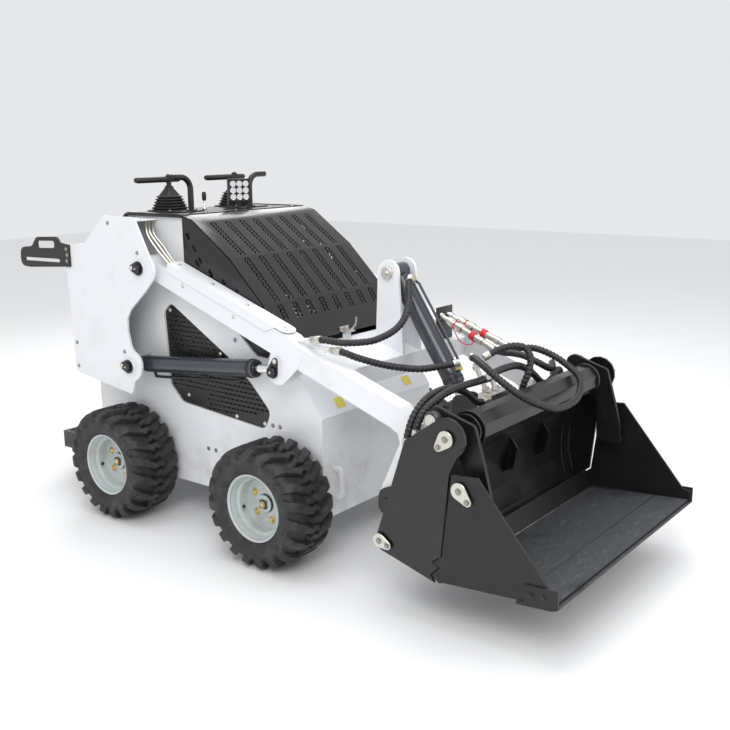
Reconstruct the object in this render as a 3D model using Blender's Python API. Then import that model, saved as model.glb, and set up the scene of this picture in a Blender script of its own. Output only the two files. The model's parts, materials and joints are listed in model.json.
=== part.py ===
"""Stand-on wheeled mini skid steer loader with lift arms and a four-in-one bucket.

Metres, +X forward, +Y to the machine's left, +Z up. The sizes below are taken in the machine's
own frame, whose x = 0 is the rear axle and whose z = 0 is the ground. At the end every piece is
shifted so that the middle of the machine's length is at x = 0.
"""
import math

import bmesh
import bpy
from mathutils import Matrix, Vector

# ---- clearances -------------------------------------------------------------------------------
TOUCH = 0.0003          # between pieces that rest on each other
PIN_GAP = 0.0008        # radial play of a pin in its bore
SIDE_PLAY = 0.005       # sideways room of a moving piece between its plates
PANEL_GAP = 0.006       # seam between the bucket's fixed and its opening half

# ---- running gear -----------------------------------------------------------------------------
WHEELBASE = 0.92
TYRE_RADIUS = 0.254
TYRE_WIDTH = 0.245
TYRE_WALL = 0.018
TRACK_HALF = 0.5125     # middle plane of a tyre from the machine's middle plane
RIM_SEAT = 0.1268
RIM_FLANGE = 0.1405
RIM_HALF_WIDTH = 0.104
RIM_WALL = 0.006
DISC_OFFSET = 0.012     # inner face of the wheel disc, outboard of the tyre's middle plane
DISC_THICK = 0.008
HUB_BORE = 0.038
MOTOR_RADIUS = 0.062
WHEEL_SIDES = 20

# ---- tub --------------------------------------------------------------------------------------
TUB_HALF = 0.377
TUB_WALL = 0.010
TUB_FLOOR_Z = 0.170
TUB_REAR_X = -0.325
TUB_FRONT_X = 1.089
FOLD_Z = 0.593          # top of the upright front panel
NOSE_X, NOSE_Z = 0.915, 0.839
BULKHEAD_X = 0.335      # front end of the operator's deck
TUB_TOP_Z = 1.360
CONSOLE_X, CONSOLE_Z = -0.183, 1.226
DECK_REAR_X = -0.029
SILL_REAR_Z = 1.130     # side plate's upper edge where it meets the deck housing
SHEET = 0.004
DECK_SHEET = 0.010
HOOD_HALF = 0.394
HOOD_HINGE = (0.3455, 1.369)
LATCH_X, LATCH_Z = 0.898, 0.872     # rear edge and underside of the hood's latch
HOOD_PATH = [(0.3425, 1.370), (0.405, 1.355), (0.620, 1.205), (0.800, 1.030), (0.905, 0.868)]

# ---- towers, arms and lift cylinders ----------------------------------------------------------
TOWER_OUT = 0.518
TOWER_PLATE = 0.010
ARM_IN = 0.403
ARM_OUT = 0.475
ARM_DEPTH = 0.083       # upright depth of the arm box
LIFT_PIVOT = (0.199, 1.150)
LIFT_BASE = (0.090, 0.706)
ROD_PIN = (0.935, 0.789)
ARM_SLOPE = -0.345
ELBOW_X = 1.515
PIN_RADIUS = 0.020
CYL_MID = 0.442         # middle plane of a lift cylinder
LIFT_BARREL = 0.038
LIFT_GLAND = 0.715      # from the base pin to the barrel's open end
LIFT_ROD = 0.018
LIFT_ROD_INSIDE = 0.60  # rod's inner end, back from its eye
BRACKET_PLATE = 0.010
EYE_WIDTH = 0.040
BORE_END = 0.030        # solid length between a barrel's eye and its bore

# ---- tilt linkage -----------------------------------------------------------------------------
TILT_BASE = (1.187, 1.152)
TILT_ROD_PIN = (1.520, 0.645)
EAR_GAP = 0.052         # half of the room between the two ears
EAR_PLATE = 0.014
TILT_BARREL = 0.042
TILT_GLAND = 0.520
TILT_ROD = 0.020
TILT_ROD_INSIDE = 0.40
CROSS_REAR_X, CROSS_FRONT_X = 1.118, 1.262
ATTACH_PIVOT = (1.490, 0.370)
ATTACH_HALF = 0.500
ATTACH_PLATE = 0.012
ATTACH_LOW_Z, ATTACH_HIGH_Z = 0.262, 0.640
LUG_PLATE = 0.010

# ---- bucket -----------------------------------------------------------------------------------
BUCKET_HALF = 0.598     # over the side cutters
SIDE_OUT = 0.590
SIDE_PLATE = 0.010
BACK_X, BACK_Z = 1.5295, 0.250  # foot of the bucket's back plane
BACK_LEAN = 0.2732              # how far the back leans forward for each metre of height
CLAM_PIVOT = (1.817, 0.699)
ROCKER_PIN = (1.735, 0.742)
CLAM_BASE = (1.540, 0.273)
STAY_PIN = (1.871, 0.529)
ROCKER_OUT = 0.528
ROCKER_PLATE = 0.016
RIB_OUT = 0.505
CLAM_CYL_MID = 0.549
CLAM_BARREL = 0.027
CLAM_GLAND = 0.330
CLAM_ROD = 0.014
CLAM_ROD_INSIDE = 0.24
CLAM_PIN = 0.0165       # base pin of a clam cylinder
BEAM_RADIUS = 0.060
BEAM_HALF = 0.443
LUG_RADIUS = 0.072
EDGE_TIP_X = 2.244
EDGE_TIP_Z = 0.204      # underside of the cutting edge at its tip
EDGE_BAR = 0.012
EDGE_LENGTH = 0.150
FLOOR_REAR = (1.806, 0.180)     # underside of the floor where the heel rises
FLOOR_PLATE = 0.010
MOULD_PLATE = 0.008
TOP_PLATE = [(1.6388, 0.650), (1.790, 0.700)]
TOP_THICK = 0.010
SPLIT = [(1.827, 0.579), (1.795, 0.273), (1.758, 0.245), (1.786, 0.231), (1.753, 0.197)]   # fixed side's seam

# ---- operator's station -----------------------------------------------------------------------
PLATFORM_REAR_X = -0.690
PLATFORM_HALF = 0.360
PLATFORM_Z = 0.235
STICK_X, STICK_Y = 0.055, 0.207
GRIP_Z = 1.513
BAR_RADIUS = 0.0135
LAMP_AT = (0.240, 0.056)
LAMP_SIZE = 0.105
HANDLE_REAR_X = -0.674

# ---- hoses ------------------------------------------------------------------------------------
HOSE_RADIUS = 0.0135
HOSE_STEP = 0.045       # between two points along a hose
PIPE_RADIUS = 0.009
COUPLERS = [((1.205, 0.25, 0.948), (1.475, 0.25, 0.832)), ((1.225, 0.30, 0.940), (1.527, 0.30, 0.834))]
RISERS = [((1.672, -0.085, 0.725), (1.611, -0.085, 0.838)), ((1.690, -0.045, 0.725), (1.632, -0.045, 0.833))]
ARM_PIPES = [((1.000, -0.445, 0.916), (1.1236, -0.440, 0.930)), ((1.000, -0.425, 0.908), (1.2076, -0.420, 0.894))]
HOSES = {
    "tilt_hose_base": [(1.1244, -0.440, 0.9301), (1.1584, -0.4386, 0.9339), (1.224, -0.400, 0.924), (1.281, -0.340, 0.924),
                       (1.313, -0.300, 0.933), (1.334, -0.220, 0.958), (1.339, -0.160, 1.000),
                       (1.322, -0.110, 1.059), (1.293, -0.070, 1.112), (1.276, -0.032, 1.136)],
    "tilt_hose_gland": [(1.2084, -0.420, 0.8939), (1.2425, -0.4192, 0.8916), (1.278, -0.378, 0.868), (1.329, -0.310, 0.839),
                        (1.380, -0.250, 0.821), (1.438, -0.190, 0.812), (1.490, -0.120, 0.818), (1.532, -0.068, 0.826)],
    "clam_hose_loop": [(1.604, -0.093, 0.8625), (1.660, -0.150, 0.868), (1.740, -0.224, 0.866), (1.820, -0.246, 0.829),
                       (1.900, -0.245, 0.788), (1.930, -0.167, 0.744), (1.940, -0.046, 0.702), (1.930, 0.107, 0.691),
                       (1.908, 0.213, 0.708), (1.880, 0.262, 0.754), (1.805, 0.285, 0.795), (1.740, 0.286, 0.824),
                       (1.670, 0.284, 0.840), (1.605, 0.293, 0.832), (1.5557, 0.300, 0.824), (1.5274, 0.300, 0.8339)],
    "clam_hose_return": [(1.4757, 0.250, 0.8317), (1.5026, 0.250, 0.8202), (1.550, 0.238, 0.816), (1.610, 0.214, 0.824),
                         (1.670, 0.197, 0.824), (1.715, 0.215, 0.803), (1.735, 0.262, 0.775), (1.722, 0.325, 0.757),
                         (1.690, 0.395, 0.750), (1.655, 0.470, 0.745), (1.630, 0.530, 0.700), (1.622, 0.547, 0.640)],
    "clam_hose_arch": [(1.625, -0.040, 0.853), (1.660, 0.010, 0.880), (1.700, 0.054, 0.892), (1.735, 0.085, 0.882),
                       (1.762, 0.078, 0.845), (1.764, 0.060, 0.795), (1.752, 0.048, 0.750), (1.742, 0.045, 0.7025)],
    "clam_hose_cross": [(1.660, -0.547, 0.668), (1.664, -0.540, 0.710), (1.672, -0.510, 0.755), (1.688, -0.448, 0.790),
                        (1.700, -0.378, 0.806), (1.712, -0.300, 0.812), (1.720, -0.233, 0.812),
                        (1.722, -0.160, 0.815), (1.722, -0.095, 0.826), (1.722, 0.026, 0.822),
                        (1.727, 0.100, 0.800), (1.732, 0.165, 0.762), (1.735, 0.220, 0.722), (1.728, 0.280, 0.7045),
                        (1.715, 0.340, 0.7035), (1.700, 0.420, 0.714), (1.676, 0.490, 0.714), (1.662, 0.535, 0.695),
                        (1.657, 0.547, 0.665)],
    "clam_hose_right": [(1.622, -0.547, 0.632), (1.628, -0.543, 0.680), (1.636, -0.520, 0.735), (1.648, -0.470, 0.781),
                        (1.655, -0.420, 0.797), (1.660, -0.360, 0.800), (1.664, -0.300, 0.788),
                        (1.672, -0.240, 0.762), (1.684, -0.195, 0.724), (1.688, -0.165, 0.713),
                        (1.688, -0.1306, 0.713)],
}

SIDES = (("right", -1), ("left", 1))
SHIFT = Vector((-(PLATFORM_REAR_X + EDGE_TIP_X) / 2, 0, 0))


# ---- finishes ---------------------------------------------------------------------------------
def finish(name, colour, roughness, metallic=0.0):
    """A plain finish with the part's colour, roughness and metallic value."""
    material = bpy.data.materials.new(name)
    material.use_nodes = True
    shader = material.node_tree.nodes["Principled BSDF"]
    shader.inputs["Base Color"].default_value = (*colour, 1)
    shader.inputs["Roughness"].default_value = roughness
    shader.inputs["Metallic"].default_value = metallic
    material.diffuse_color = (*colour, 1)
    return material


# ---- outlines ---------------------------------------------------------------------------------
def rounded(corners, step=math.radians(32)):
    """Closed outline from corners (a, b) and rounded corners (a, b, radius)."""
    outline = []
    count = len(corners)
    for index, corner in enumerate(corners):
        here = Vector(corner[:2])
        if len(corner) == 2:
            outline.append(tuple(here))
            continue
        back = (Vector(corners[index - 1][:2]) - here).normalized()
        ahead = (Vector(corners[(index + 1) % count][:2]) - here).normalized()
        half = back.angle(ahead) / 2
        reach = corner[2] / math.tan(half)
        centre = here + (back + ahead).normalized() * corner[2] / math.sin(half)
        start, end = here + back * reach - centre, here + ahead * reach - centre
        turn = start.angle_signed(end)
        pieces = max(1, math.ceil(abs(turn) / step))
        for k in range(pieces + 1):
            angle = -turn * k / pieces
            outline.append((centre.x + start.x * math.cos(angle) - start.y * math.sin(angle),
                            centre.y + start.x * math.sin(angle) + start.y * math.cos(angle)))
    return outline


def circle(centre, radius, sides=12):
    """Regular polygon round a centre, with a flat at its foot."""
    return [(centre[0] + radius * math.cos(math.tau * (k + 0.5) / sides),
             centre[1] + radius * math.sin(math.tau * (k + 0.5) / sides)) for k in range(sides)]


def link(start, end, start_radius, end_radius, sides=10):
    """Outline of a bar with a round end about each of two points."""
    heading = math.atan2(end[1] - start[1], end[0] - start[0])
    half = sides // 2
    outline = []
    for centre, radius, turn in ((end, end_radius, -math.pi / 2), (start, start_radius, math.pi / 2)):
        for k in range(half + 1):
            angle = heading + turn + math.pi * k / half
            outline.append((centre[0] + radius * math.cos(angle), centre[1] + radius * math.sin(angle)))
    return outline


def strip(path, thick):
    """Outline of a folded sheet: the path, and the same path moved to its left by thick."""
    moved = []
    for index, point in enumerate(path):
        here = Vector(point)
        ways = []
        if index:
            ways.append((here - Vector(path[index - 1])).normalized())
        if index + 1 < len(path):
            ways.append((Vector(path[index + 1]) - here).normalized())
        normals = [Vector((-way.y, way.x)) for way in ways]
        middle = sum(normals, Vector((0, 0))).normalized()
        moved.append(tuple(here + middle * thick / middle.dot(normals[0])))
    return list(path) + moved[::-1]


# ---- solids -----------------------------------------------------------------------------------
def closed(shape):
    """Turn a bmesh solid's faces outward."""
    bmesh.ops.recalc_face_normals(shape, faces=shape.faces)
    if shape.calc_volume(signed=True) < 0:
        bmesh.ops.reverse_faces(shape, faces=shape.faces)
    return shape


def prism(outline, axis, low, high):
    """Outline drawn square to an axis and pulled along it from low to high."""
    place = {"x": lambda a, b, c: (c, a, b), "y": lambda a, b, c: (a, c, b), "z": lambda a, b, c: (a, b, c)}[axis]
    shape = bmesh.new()
    ends = [[shape.verts.new(place(a, b, c)) for a, b in outline] for c in (low, high)]
    for ring in ends:
        shape.faces.new(ring)
    for k in range(len(outline)):
        j = (k + 1) % len(outline)
        shape.faces.new((ends[0][k], ends[0][j], ends[1][j], ends[1][k]))
    return closed(shape)


def block(low, high):
    """Box between two corners."""
    outline = [(low[0], low[1]), (high[0], low[1]), (high[0], high[1]), (low[0], high[1])]
    return prism(outline, "z", low[2], high[2])


def turned(profile, centre, side=1, sides=WHEEL_SIDES):
    """Closed profile of (radius, offset along Y) turned round an axis along Y."""
    shape = bmesh.new()
    rings = []
    for k in range(sides):
        angle = math.tau * (k + 0.5) / sides
        rings.append([shape.verts.new((centre[0] + r * math.cos(angle), centre[1] + side * y,
                                       centre[2] + r * math.sin(angle))) for r, y in profile])
    for k in range(sides):
        here, ahead = rings[k], rings[(k + 1) % sides]
        for n in range(len(profile)):
            m = (n + 1) % len(profile)
            shape.faces.new((here[n], here[m], ahead[m], ahead[n]))
    return closed(shape)


def round_bar(start, end, radius, sides=12, end_radius=None):
    """Straight round bar, or a taper, between two points."""
    start, end = Vector(start), Vector(end)
    way = (end - start).normalized()
    across = way.cross(Vector((0, 1, 0)) if abs(way.y) < 0.9 else Vector((1, 0, 0))).normalized()
    other = way.cross(across)
    shape = bmesh.new()
    rings = []
    for centre, size in ((start, radius), (end, radius if end_radius is None else end_radius)):
        rings.append([shape.verts.new(centre + size * (across * math.cos(math.tau * (k + 0.5) / sides)
                                                       + other * math.sin(math.tau * (k + 0.5) / sides)))
                      for k in range(sides)])
    for ring in rings:
        shape.faces.new(ring)
    for k in range(sides):
        j = (k + 1) % sides
        shape.faces.new((rings[0][k], rings[0][j], rings[1][j], rings[1][k]))
    return closed(shape)


def cross_bar(point, low, high, radius, sides=12):
    """Round bar along Y through a point (x, z)."""
    return prism(circle(point, radius, sides), "y", low, high)


def span(side, near, far):
    """Low and high y of a plate given by its two distances from the middle plane."""
    return (near, far) if side > 0 else (-far, -near)


# ---- pieces -----------------------------------------------------------------------------------
def mesh_object(name, shape):
    mesh = bpy.data.meshes.new(name)
    shape.to_mesh(mesh)
    shape.free()
    thing = bpy.data.objects.new(name, mesh)
    bpy.context.scene.collection.objects.link(thing)
    return thing


def piece(name, material, solids, cuts=(), pivot=(0, 0, 0), extras=()):
    """One sub-part: the union of its solids, less its cuts, plus its extras, with its origin at its pivot."""
    thing = mesh_object(name, solids[0])
    helpers = []
    steps = [(s, "UNION") for s in solids[1:]] + [(c, "DIFFERENCE") for c in cuts] + [(e, "UNION") for e in extras]
    for shape, operation in steps:
        helper = mesh_object(name + "_helper", shape)
        helpers.append(helper)
        change = thing.modifiers.new(operation, "BOOLEAN")
        change.operation = operation
        change.object = helper
    if helpers:
        bpy.context.view_layer.update()
        result = bpy.data.meshes.new_from_object(thing.evaluated_get(bpy.context.evaluated_depsgraph_get()))
        thing.modifiers.clear()
        thing.data = result
        for helper in helpers:
            bpy.data.objects.remove(helper)
    thing.data.name = name
    thing.data.materials.clear()
    thing.data.materials.append(material)
    thing.data.transform(Matrix.Translation(-Vector(pivot)))
    thing.location = Vector(pivot) + SHIFT
    thing.data.shade_smooth()
    thing.data.set_sharp_from_angle(angle=math.radians(32))
    return thing


# ---- wheels -----------------------------------------------------------------------------------
def wheels():
    """Tyre and deep-dished rim at each corner, and the wheel motor that carries them."""
    outer = TYRE_RADIUS / math.cos(math.pi / WHEEL_SIDES)
    half = TYRE_WIDTH / 2
    bead = RIM_HALF_WIDTH - RIM_WALL - TOUCH
    seat = RIM_SEAT / math.cos(math.pi / WHEEL_SIDES) + TOUCH
    outside = [(seat, bead), (RIM_FLANGE + 0.001, bead), (RIM_FLANGE + 0.012, half - 0.004),
               (outer - 0.055, half), (outer - 0.018, half - 0.008), (outer, half - 0.032)]
    inside = [(outer - TYRE_WALL - 0.008, half - 0.036), (outer - 0.060, half - TYRE_WALL), (seat, bead - 0.022)]
    tyre = outside[::-1] + inside[::-1] + [(r, -y) for r, y in inside] + [(r, -y) for r, y in outside]
    inner = RIM_SEAT - RIM_WALL
    lip = RIM_HALF_WIDTH - RIM_WALL
    rim = [(RIM_FLANGE, RIM_HALF_WIDTH), (RIM_FLANGE, lip), (RIM_SEAT, lip), (RIM_SEAT, -lip),
           (RIM_FLANGE, -lip), (RIM_FLANGE, -RIM_HALF_WIDTH), (inner, -RIM_HALF_WIDTH),
           (inner, DISC_OFFSET), (HUB_BORE, DISC_OFFSET), (HUB_BORE, DISC_OFFSET + DISC_THICK),
           (inner, DISC_OFFSET + DISC_THICK), (inner, RIM_HALF_WIDTH)]
    for end, x in (("front", WHEELBASE), ("rear", 0.0)):
        for side_name, side in SIDES:
            centre = (x, side * TRACK_HALF, TYRE_RADIUS)
            tag = end + "_" + side_name
            piece("tyre_" + tag, RUBBER, [turned(tyre, centre, side)], pivot=centre)
            piece("rim_" + tag, WHEEL_WHITE, [turned(rim, centre, side)], pivot=centre)
            face = TRACK_HALF + DISC_OFFSET
            hub = (x, TYRE_RADIUS)
            body = cross_bar(hub, *span(side, TUB_HALF + TOUCH, face - SIDE_PLAY), MOTOR_RADIUS, WHEEL_SIDES)
            nose = cross_bar(hub, *span(side, face - 0.02, face + DISC_THICK + 0.012),
                             HUB_BORE - PIN_GAP, WHEEL_SIDES)
            piece("wheel_motor_" + tag, MOTOR_GREY, [body, nose])


# ---- tub --------------------------------------------------------------------------------------
def tub_outline(inset=0.0):
    """Side view of the tub; inset gives the room inside its walls, open at the top."""
    lift = 0.2 if inset else 0.0
    slope = math.atan2(NOSE_Z - FOLD_Z, NOSE_X - TUB_FRONT_X)
    back = inset / math.sin(slope)
    knee = inset * math.tan((math.pi - slope) / 2 - math.pi / 4) if inset else 0.0
    rear, front, floor = TUB_REAR_X + inset, TUB_FRONT_X - inset, TUB_FLOOR_Z + inset
    outline = [(rear, floor), (front, floor), (front, FOLD_Z - knee)]
    if inset:
        return outline + [(NOSE_X - back, NOSE_Z), (NOSE_X - back, TUB_TOP_Z + lift), (rear, TUB_TOP_Z + lift)]
    return outline + [(NOSE_X, NOSE_Z), (NOSE_X - 0.05, NOSE_Z + 0.03), (BULKHEAD_X, SILL_REAR_Z),
                      (BULKHEAD_X, TUB_TOP_Z), (DECK_REAR_X, TUB_TOP_Z), (CONSOLE_X, CONSOLE_Z),
                      (TUB_REAR_X, CONSOLE_Z)]


def grille_opening():
    """Side view of the rounded opening that the side grille closes from inside."""
    return rounded([(0.172, 0.94, 0.03), (0.222, 0.985, 0.03), (0.575, 0.782, 0.03), (0.700, 0.690, 0.04),
                    (0.812, 0.577, 0.04), (0.775, 0.498, 0.04), (0.262, 0.540, 0.05), (0.192, 0.618, 0.05)])


def small_opening():
    """Side view of the small three-cornered opening under the arm."""
    return rounded([(0.640, 0.892), (0.818, 0.832), (0.806, 0.804, 0.012), (0.737, 0.808, 0.012)])


def tub():
    """White welded tub: two side plates, folded front, floor and rear wall, open at the top."""
    shell = prism(tub_outline(), "y", -TUB_HALF, TUB_HALF)
    room = prism(tub_outline(TUB_WALL), "y", -(TUB_HALF - TUB_WALL), TUB_HALF - TUB_WALL)
    cuts = [room]
    for _, side in SIDES:
        low, high = span(side, TUB_HALF - 2 * TUB_WALL, TUB_HALF + TUB_WALL)
        cuts.append(prism(grille_opening(), "y", low, high))
        cuts.append(prism(small_opening(), "y", low, high))
    catch = block((LATCH_X + 0.011, -0.020, NOSE_Z - 0.009), (LATCH_X + 0.0235, 0.020, LATCH_Z - TOUCH))
    piece("tub", WHITE, [shell], cuts, extras=[catch])
    behind = TUB_HALF - TUB_WALL - TOUCH
    panel = rounded([(0.150, 0.96, 0.03), (0.215, 1.01, 0.03), (0.60, 0.91, 0.02), (0.835, 0.845, 0.02),
                     (0.845, 0.55, 0.04), (0.80, 0.472, 0.03), (0.24, 0.510, 0.03), (0.165, 0.60, 0.03)])
    for side_name, side in SIDES:
        piece("side_grille_" + side_name, BLACK, [prism(panel, "y", *span(side, behind - SHEET, behind))])
    rows = [block((0.42, -0.20, TUB_FLOOR_Z + TUB_WALL + TOUCH), (0.80, -0.12, 0.34)),
            block((0.42, 0.12, TUB_FLOOR_Z + TUB_WALL + TOUCH), (0.80, 0.20, 0.34))]
    piece("engine_block", MOTOR_GREY, [block((0.40, -0.24, 0.32), (0.82, 0.24, 0.82))] + rows)
    rear = TUB_REAR_X - TOUCH
    door = rounded([(-0.28, 0.36, 0.02), (0.28, 0.36, 0.02), (0.28, 1.14, 0.02), (-0.28, 1.14, 0.02)])
    piece("rear_panel", WHITE, [prism(door, "x", rear - SHEET, rear)])
    pad = rounded([(-0.23, 0.62, 0.04), (0.23, 0.62, 0.04), (0.23, 1.06, 0.04), (-0.23, 1.06, 0.04)])
    piece("knee_pad", RUBBER, [prism(pad, "x", rear - SHEET - TOUCH - 0.045, rear - SHEET - TOUCH)])
    loop_x = TUB_FRONT_X + TOUCH
    ring = rounded([(loop_x, 0.245), (loop_x + 0.052, 0.245, 0.03), (loop_x + 0.052, 0.385, 0.03), (loop_x, 0.385)])
    hole = rounded([(loop_x - 0.01, 0.263), (loop_x + 0.034, 0.263, 0.02), (loop_x + 0.034, 0.367, 0.02),
                    (loop_x - 0.01, 0.367)])
    piece("tie_down_loop", WHITE, [prism(ring, "y", -0.318, -0.302)], [prism(hole, "y", -0.33, -0.29)])


# ---- towers -----------------------------------------------------------------------------------
def tower_outline():
    """Side view of a tower's outer plate, with a lug for each pin."""
    return rounded([(DECK_REAR_X, TUB_TOP_Z + 0.006), (0.177, TUB_TOP_Z + 0.003), (0.262, 1.205, 0.08),
                    (0.305, 1.130, 0.05), (0.238, 1.062, 0.05), (0.076, 0.925, 0.10), (0.110, 0.785, 0.04),
                    (0.180, 0.745, 0.05), (0.160, 0.665, 0.05), (0.118, 0.640, 0.02), (0.094, 0.578, 0.01),
                    (-0.305, 0.630, 0.01), (-0.330, 1.225, 0.005), (CONSOLE_X, 1.233, 0.01)])


def towers():
    """Outer plates that carry the arm and the lift cylinder on pins reaching in to the tub."""
    inner = TUB_HALF + TOUCH
    plate_in = TOWER_OUT - TOWER_PLATE
    for side_name, side in SIDES:
        low, high = span(side, inner, plate_in + 0.002)
        solids = [prism(tower_outline(), "y", *span(side, plate_in, TOWER_OUT)),
                  block((-0.322, low, 0.64), (-0.310, high, 1.222)),
                  block((-0.322, low, 0.640), (-0.02, high, 0.650)),
                  prism(strip([(0.170, 1.352), (DECK_REAR_X, 1.354), (CONSOLE_X, 1.222), (-0.322, 1.214)],
                              0.006), "y", low, high),
                  cross_bar(LIFT_PIVOT, low, high, PIN_RADIUS),
                  cross_bar(LIFT_BASE, low, high, PIN_RADIUS)]
        head = span(side, TOWER_OUT - 0.002, TOWER_OUT + 0.006)
        for pin in (LIFT_PIVOT, LIFT_BASE):
            solids.append(prism(link((pin[0] - 0.040, pin[1]), pin, 0.012, 0.030), "y", *head))
        piece("tower_" + side_name, WHITE, solids)


# ---- hood and deck ----------------------------------------------------------------------------
def hood():
    """Black engine hood: a sheet folded along three lines and a side panel on each edge."""
    sheet = prism(strip(HOOD_PATH[::-1], SHEET), "y", -HOOD_HALF, HOOD_HALF)
    side_view = HOOD_PATH + [(0.888, 0.856), (0.345, 1.108)]
    sides = [prism(side_view, "y", *span(side, HOOD_HALF - SHEET, HOOD_HALF)) for _, side in SIDES]
    latch = [block((LATCH_X, -0.030, LATCH_Z), (LATCH_X + 0.042, 0.030, LATCH_Z + 0.008))]
    piece("hood", BLACK, [sheet] + sides + latch, pivot=(HOOD_HINGE[0], 0, HOOD_HINGE[1]))


def deck():
    """Black control deck with its joysticks, fixed grab bars, lever and work lamp."""
    low = TUB_TOP_Z + TOUCH
    path = [(BULKHEAD_X, low), (DECK_REAR_X - 0.004, low), (CONSOLE_X - 0.002, CONSOLE_Z + TOUCH + 0.001),
            (TUB_REAR_X, CONSOLE_Z + TOUCH + 0.001)]
    sheet = strip(path, -DECK_SHEET)
    piece("control_deck", BLACK, [prism(sheet, "y", -0.392, 0.392)])
    top = low + DECK_SHEET + TOUCH
    for side_name, side in SIDES:
        y = side * STICK_Y
        base = block((STICK_X - 0.075, y - 0.070, top), (STICK_X + 0.155, y + 0.070, top + 0.006))
        boot = bmesh.new()
        levels = [(0.068, 0.004), (0.068, 0.012), (0.052, 0.020), (0.062, 0.030), (0.048, 0.038), (0.056, 0.046),
                  (0.044, 0.054), (0.044, 0.060), (0.016, 0.106), (0.016, 0.112)]
        rings = [[boot.verts.new((STICK_X + a * size, y + b * size, top + up))
                  for a, b in ((-1, -1), (1, -1), (1, 1), (-1, 1))] for size, up in levels]
        boot.faces.new(rings[0])
        boot.faces.new(rings[-1])
        for here, ahead in zip(rings, rings[1:]):
            for k in range(4):
                j = (k + 1) % 4
                boot.faces.new((here[k], here[j], ahead[j], ahead[k]))
        post = round_bar((STICK_X, y, top + 0.10), (STICK_X, y, GRIP_Z + 0.024), 0.014)
        grip = round_bar((STICK_X, y - 0.19, GRIP_Z), (STICK_X, y + 0.065, GRIP_Z), BAR_RADIUS)
        piece("joystick_" + side_name, BLACK, [base, closed(boot), post, grip])
        foot = (STICK_X + 0.12, side * (STICK_Y - 0.02))
        points = [(foot[0], foot[1], top + 0.0063)]
        bend = 0.055
        for k in range(7):
            angle = math.pi / 2 * k / 6
            points.append((foot[0], foot[1] + side * bend * (1 - math.cos(angle)),
                           GRIP_Z + 0.012 - bend + bend * math.sin(angle)))
        points.append((foot[0], foot[1] + side * 0.105, GRIP_Z + 0.012))
        pipe("grab_bar_" + side_name, BLACK, points, BAR_RADIUS)
    lever = [round_bar((0.108, -0.045, top), (0.110, -0.045, 1.42), 0.005),
             round_bar((0.110, -0.045, 1.415), (0.113, -0.045, 1.452), 0.010)]
    piece("deck_lever", STEEL, lever)
    x, y = LAMP_AT
    turn = math.radians(-32)
    half = LAMP_SIZE / 2
    head = block((-0.045, -half, 0.0), (0.0, half, LAMP_SIZE))
    foot = block((-0.035, -0.045, -0.034), (-0.010, 0.045, -0.028))
    stem = block((-0.030, -0.010, -0.030), (-0.015, 0.010, 0.004))
    lamp = piece("work_lamp", BLACK, [head, foot, stem])
    lamp.rotation_euler = (0, 0, turn)
    lamp.location = Vector((x, y, top + 0.0343)) + SHIFT


def pipe(name, material, points, radius, pivot=(0, 0, 0), resolution=2):
    """Round bar or hose along a list of points, with closed ends."""
    line = bpy.data.curves.new(name, "CURVE")
    line.dimensions = "3D"
    line.bevel_depth = radius
    line.bevel_resolution = resolution
    line.use_fill_caps = True
    line.resolution_u = 1
    line.render_resolution_u = 0
    spline = line.splines.new("POLY")
    spline.points.add(len(points) - 1)
    for point, place in zip(spline.points, points):
        point.co = (*(Vector(place) - Vector(pivot)), 1)
    line.materials.append(material)
    thing = bpy.data.objects.new(name, line)
    bpy.context.scene.collection.objects.link(thing)
    thing.location = Vector(pivot) + SHIFT
    return thing


def operator_station():
    """Foot platform and the two slotted handle plates at the rear."""
    rear = TUB_REAR_X - TOUCH
    walls = [block((PLATFORM_REAR_X, -PLATFORM_HALF, PLATFORM_Z - 0.01), (rear, PLATFORM_HALF, PLATFORM_Z)),
             block((PLATFORM_REAR_X, -PLATFORM_HALF, PLATFORM_Z - 0.085),
                   (PLATFORM_REAR_X + 0.01, PLATFORM_HALF, PLATFORM_Z))]
    for _, side in SIDES:
        low, high = span(side, PLATFORM_HALF - 0.01, PLATFORM_HALF)
        walls.append(block((PLATFORM_REAR_X, low, PLATFORM_Z - 0.085), (rear, high, PLATFORM_Z)))
    piece("operator_platform", BLACK, walls)
    for side_name, side in SIDES:
        low, high = span(side, TOWER_OUT + TOUCH, TOWER_OUT + TOUCH + 0.008)
        front = -0.285
        outline = rounded([(front, 1.125), (front, 1.225), (-0.350, 1.232, 0.02), (-0.372, 1.258, 0.02),
                           (-0.535, 1.250, 0.03), (-0.575, 1.205, 0.03), (HANDLE_REAR_X, 1.195, 0.035),
                           (HANDLE_REAR_X, 1.108, 0.03), (-0.60, 1.104, 0.02)])
        window = rounded([(-0.395, 1.205, 0.012), (-0.395, 1.238, 0.012), (-0.530, 1.232, 0.012),
                          (-0.530, 1.198, 0.012)])
        slot = rounded([(-0.36, 1.140, 0.007), (-0.36, 1.156, 0.007), (-0.64, 1.150, 0.007), (-0.64, 1.134, 0.007)])
        cut = span(side, TOWER_OUT - 0.01, TOWER_OUT + 0.03)
        piece("rear_handle_" + side_name, BLACK, [prism(outline, "y", low, high)],
              [prism(window, "y", *cut), prism(slot, "y", *cut)])


# ---- lift arms and cylinders ------------------------------------------------------------------
def arm_middle(x):
    """Height of the arm box's middle line at x."""
    return LIFT_PIVOT[1] + ARM_SLOPE * (x - LIFT_PIVOT[0])


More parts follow.
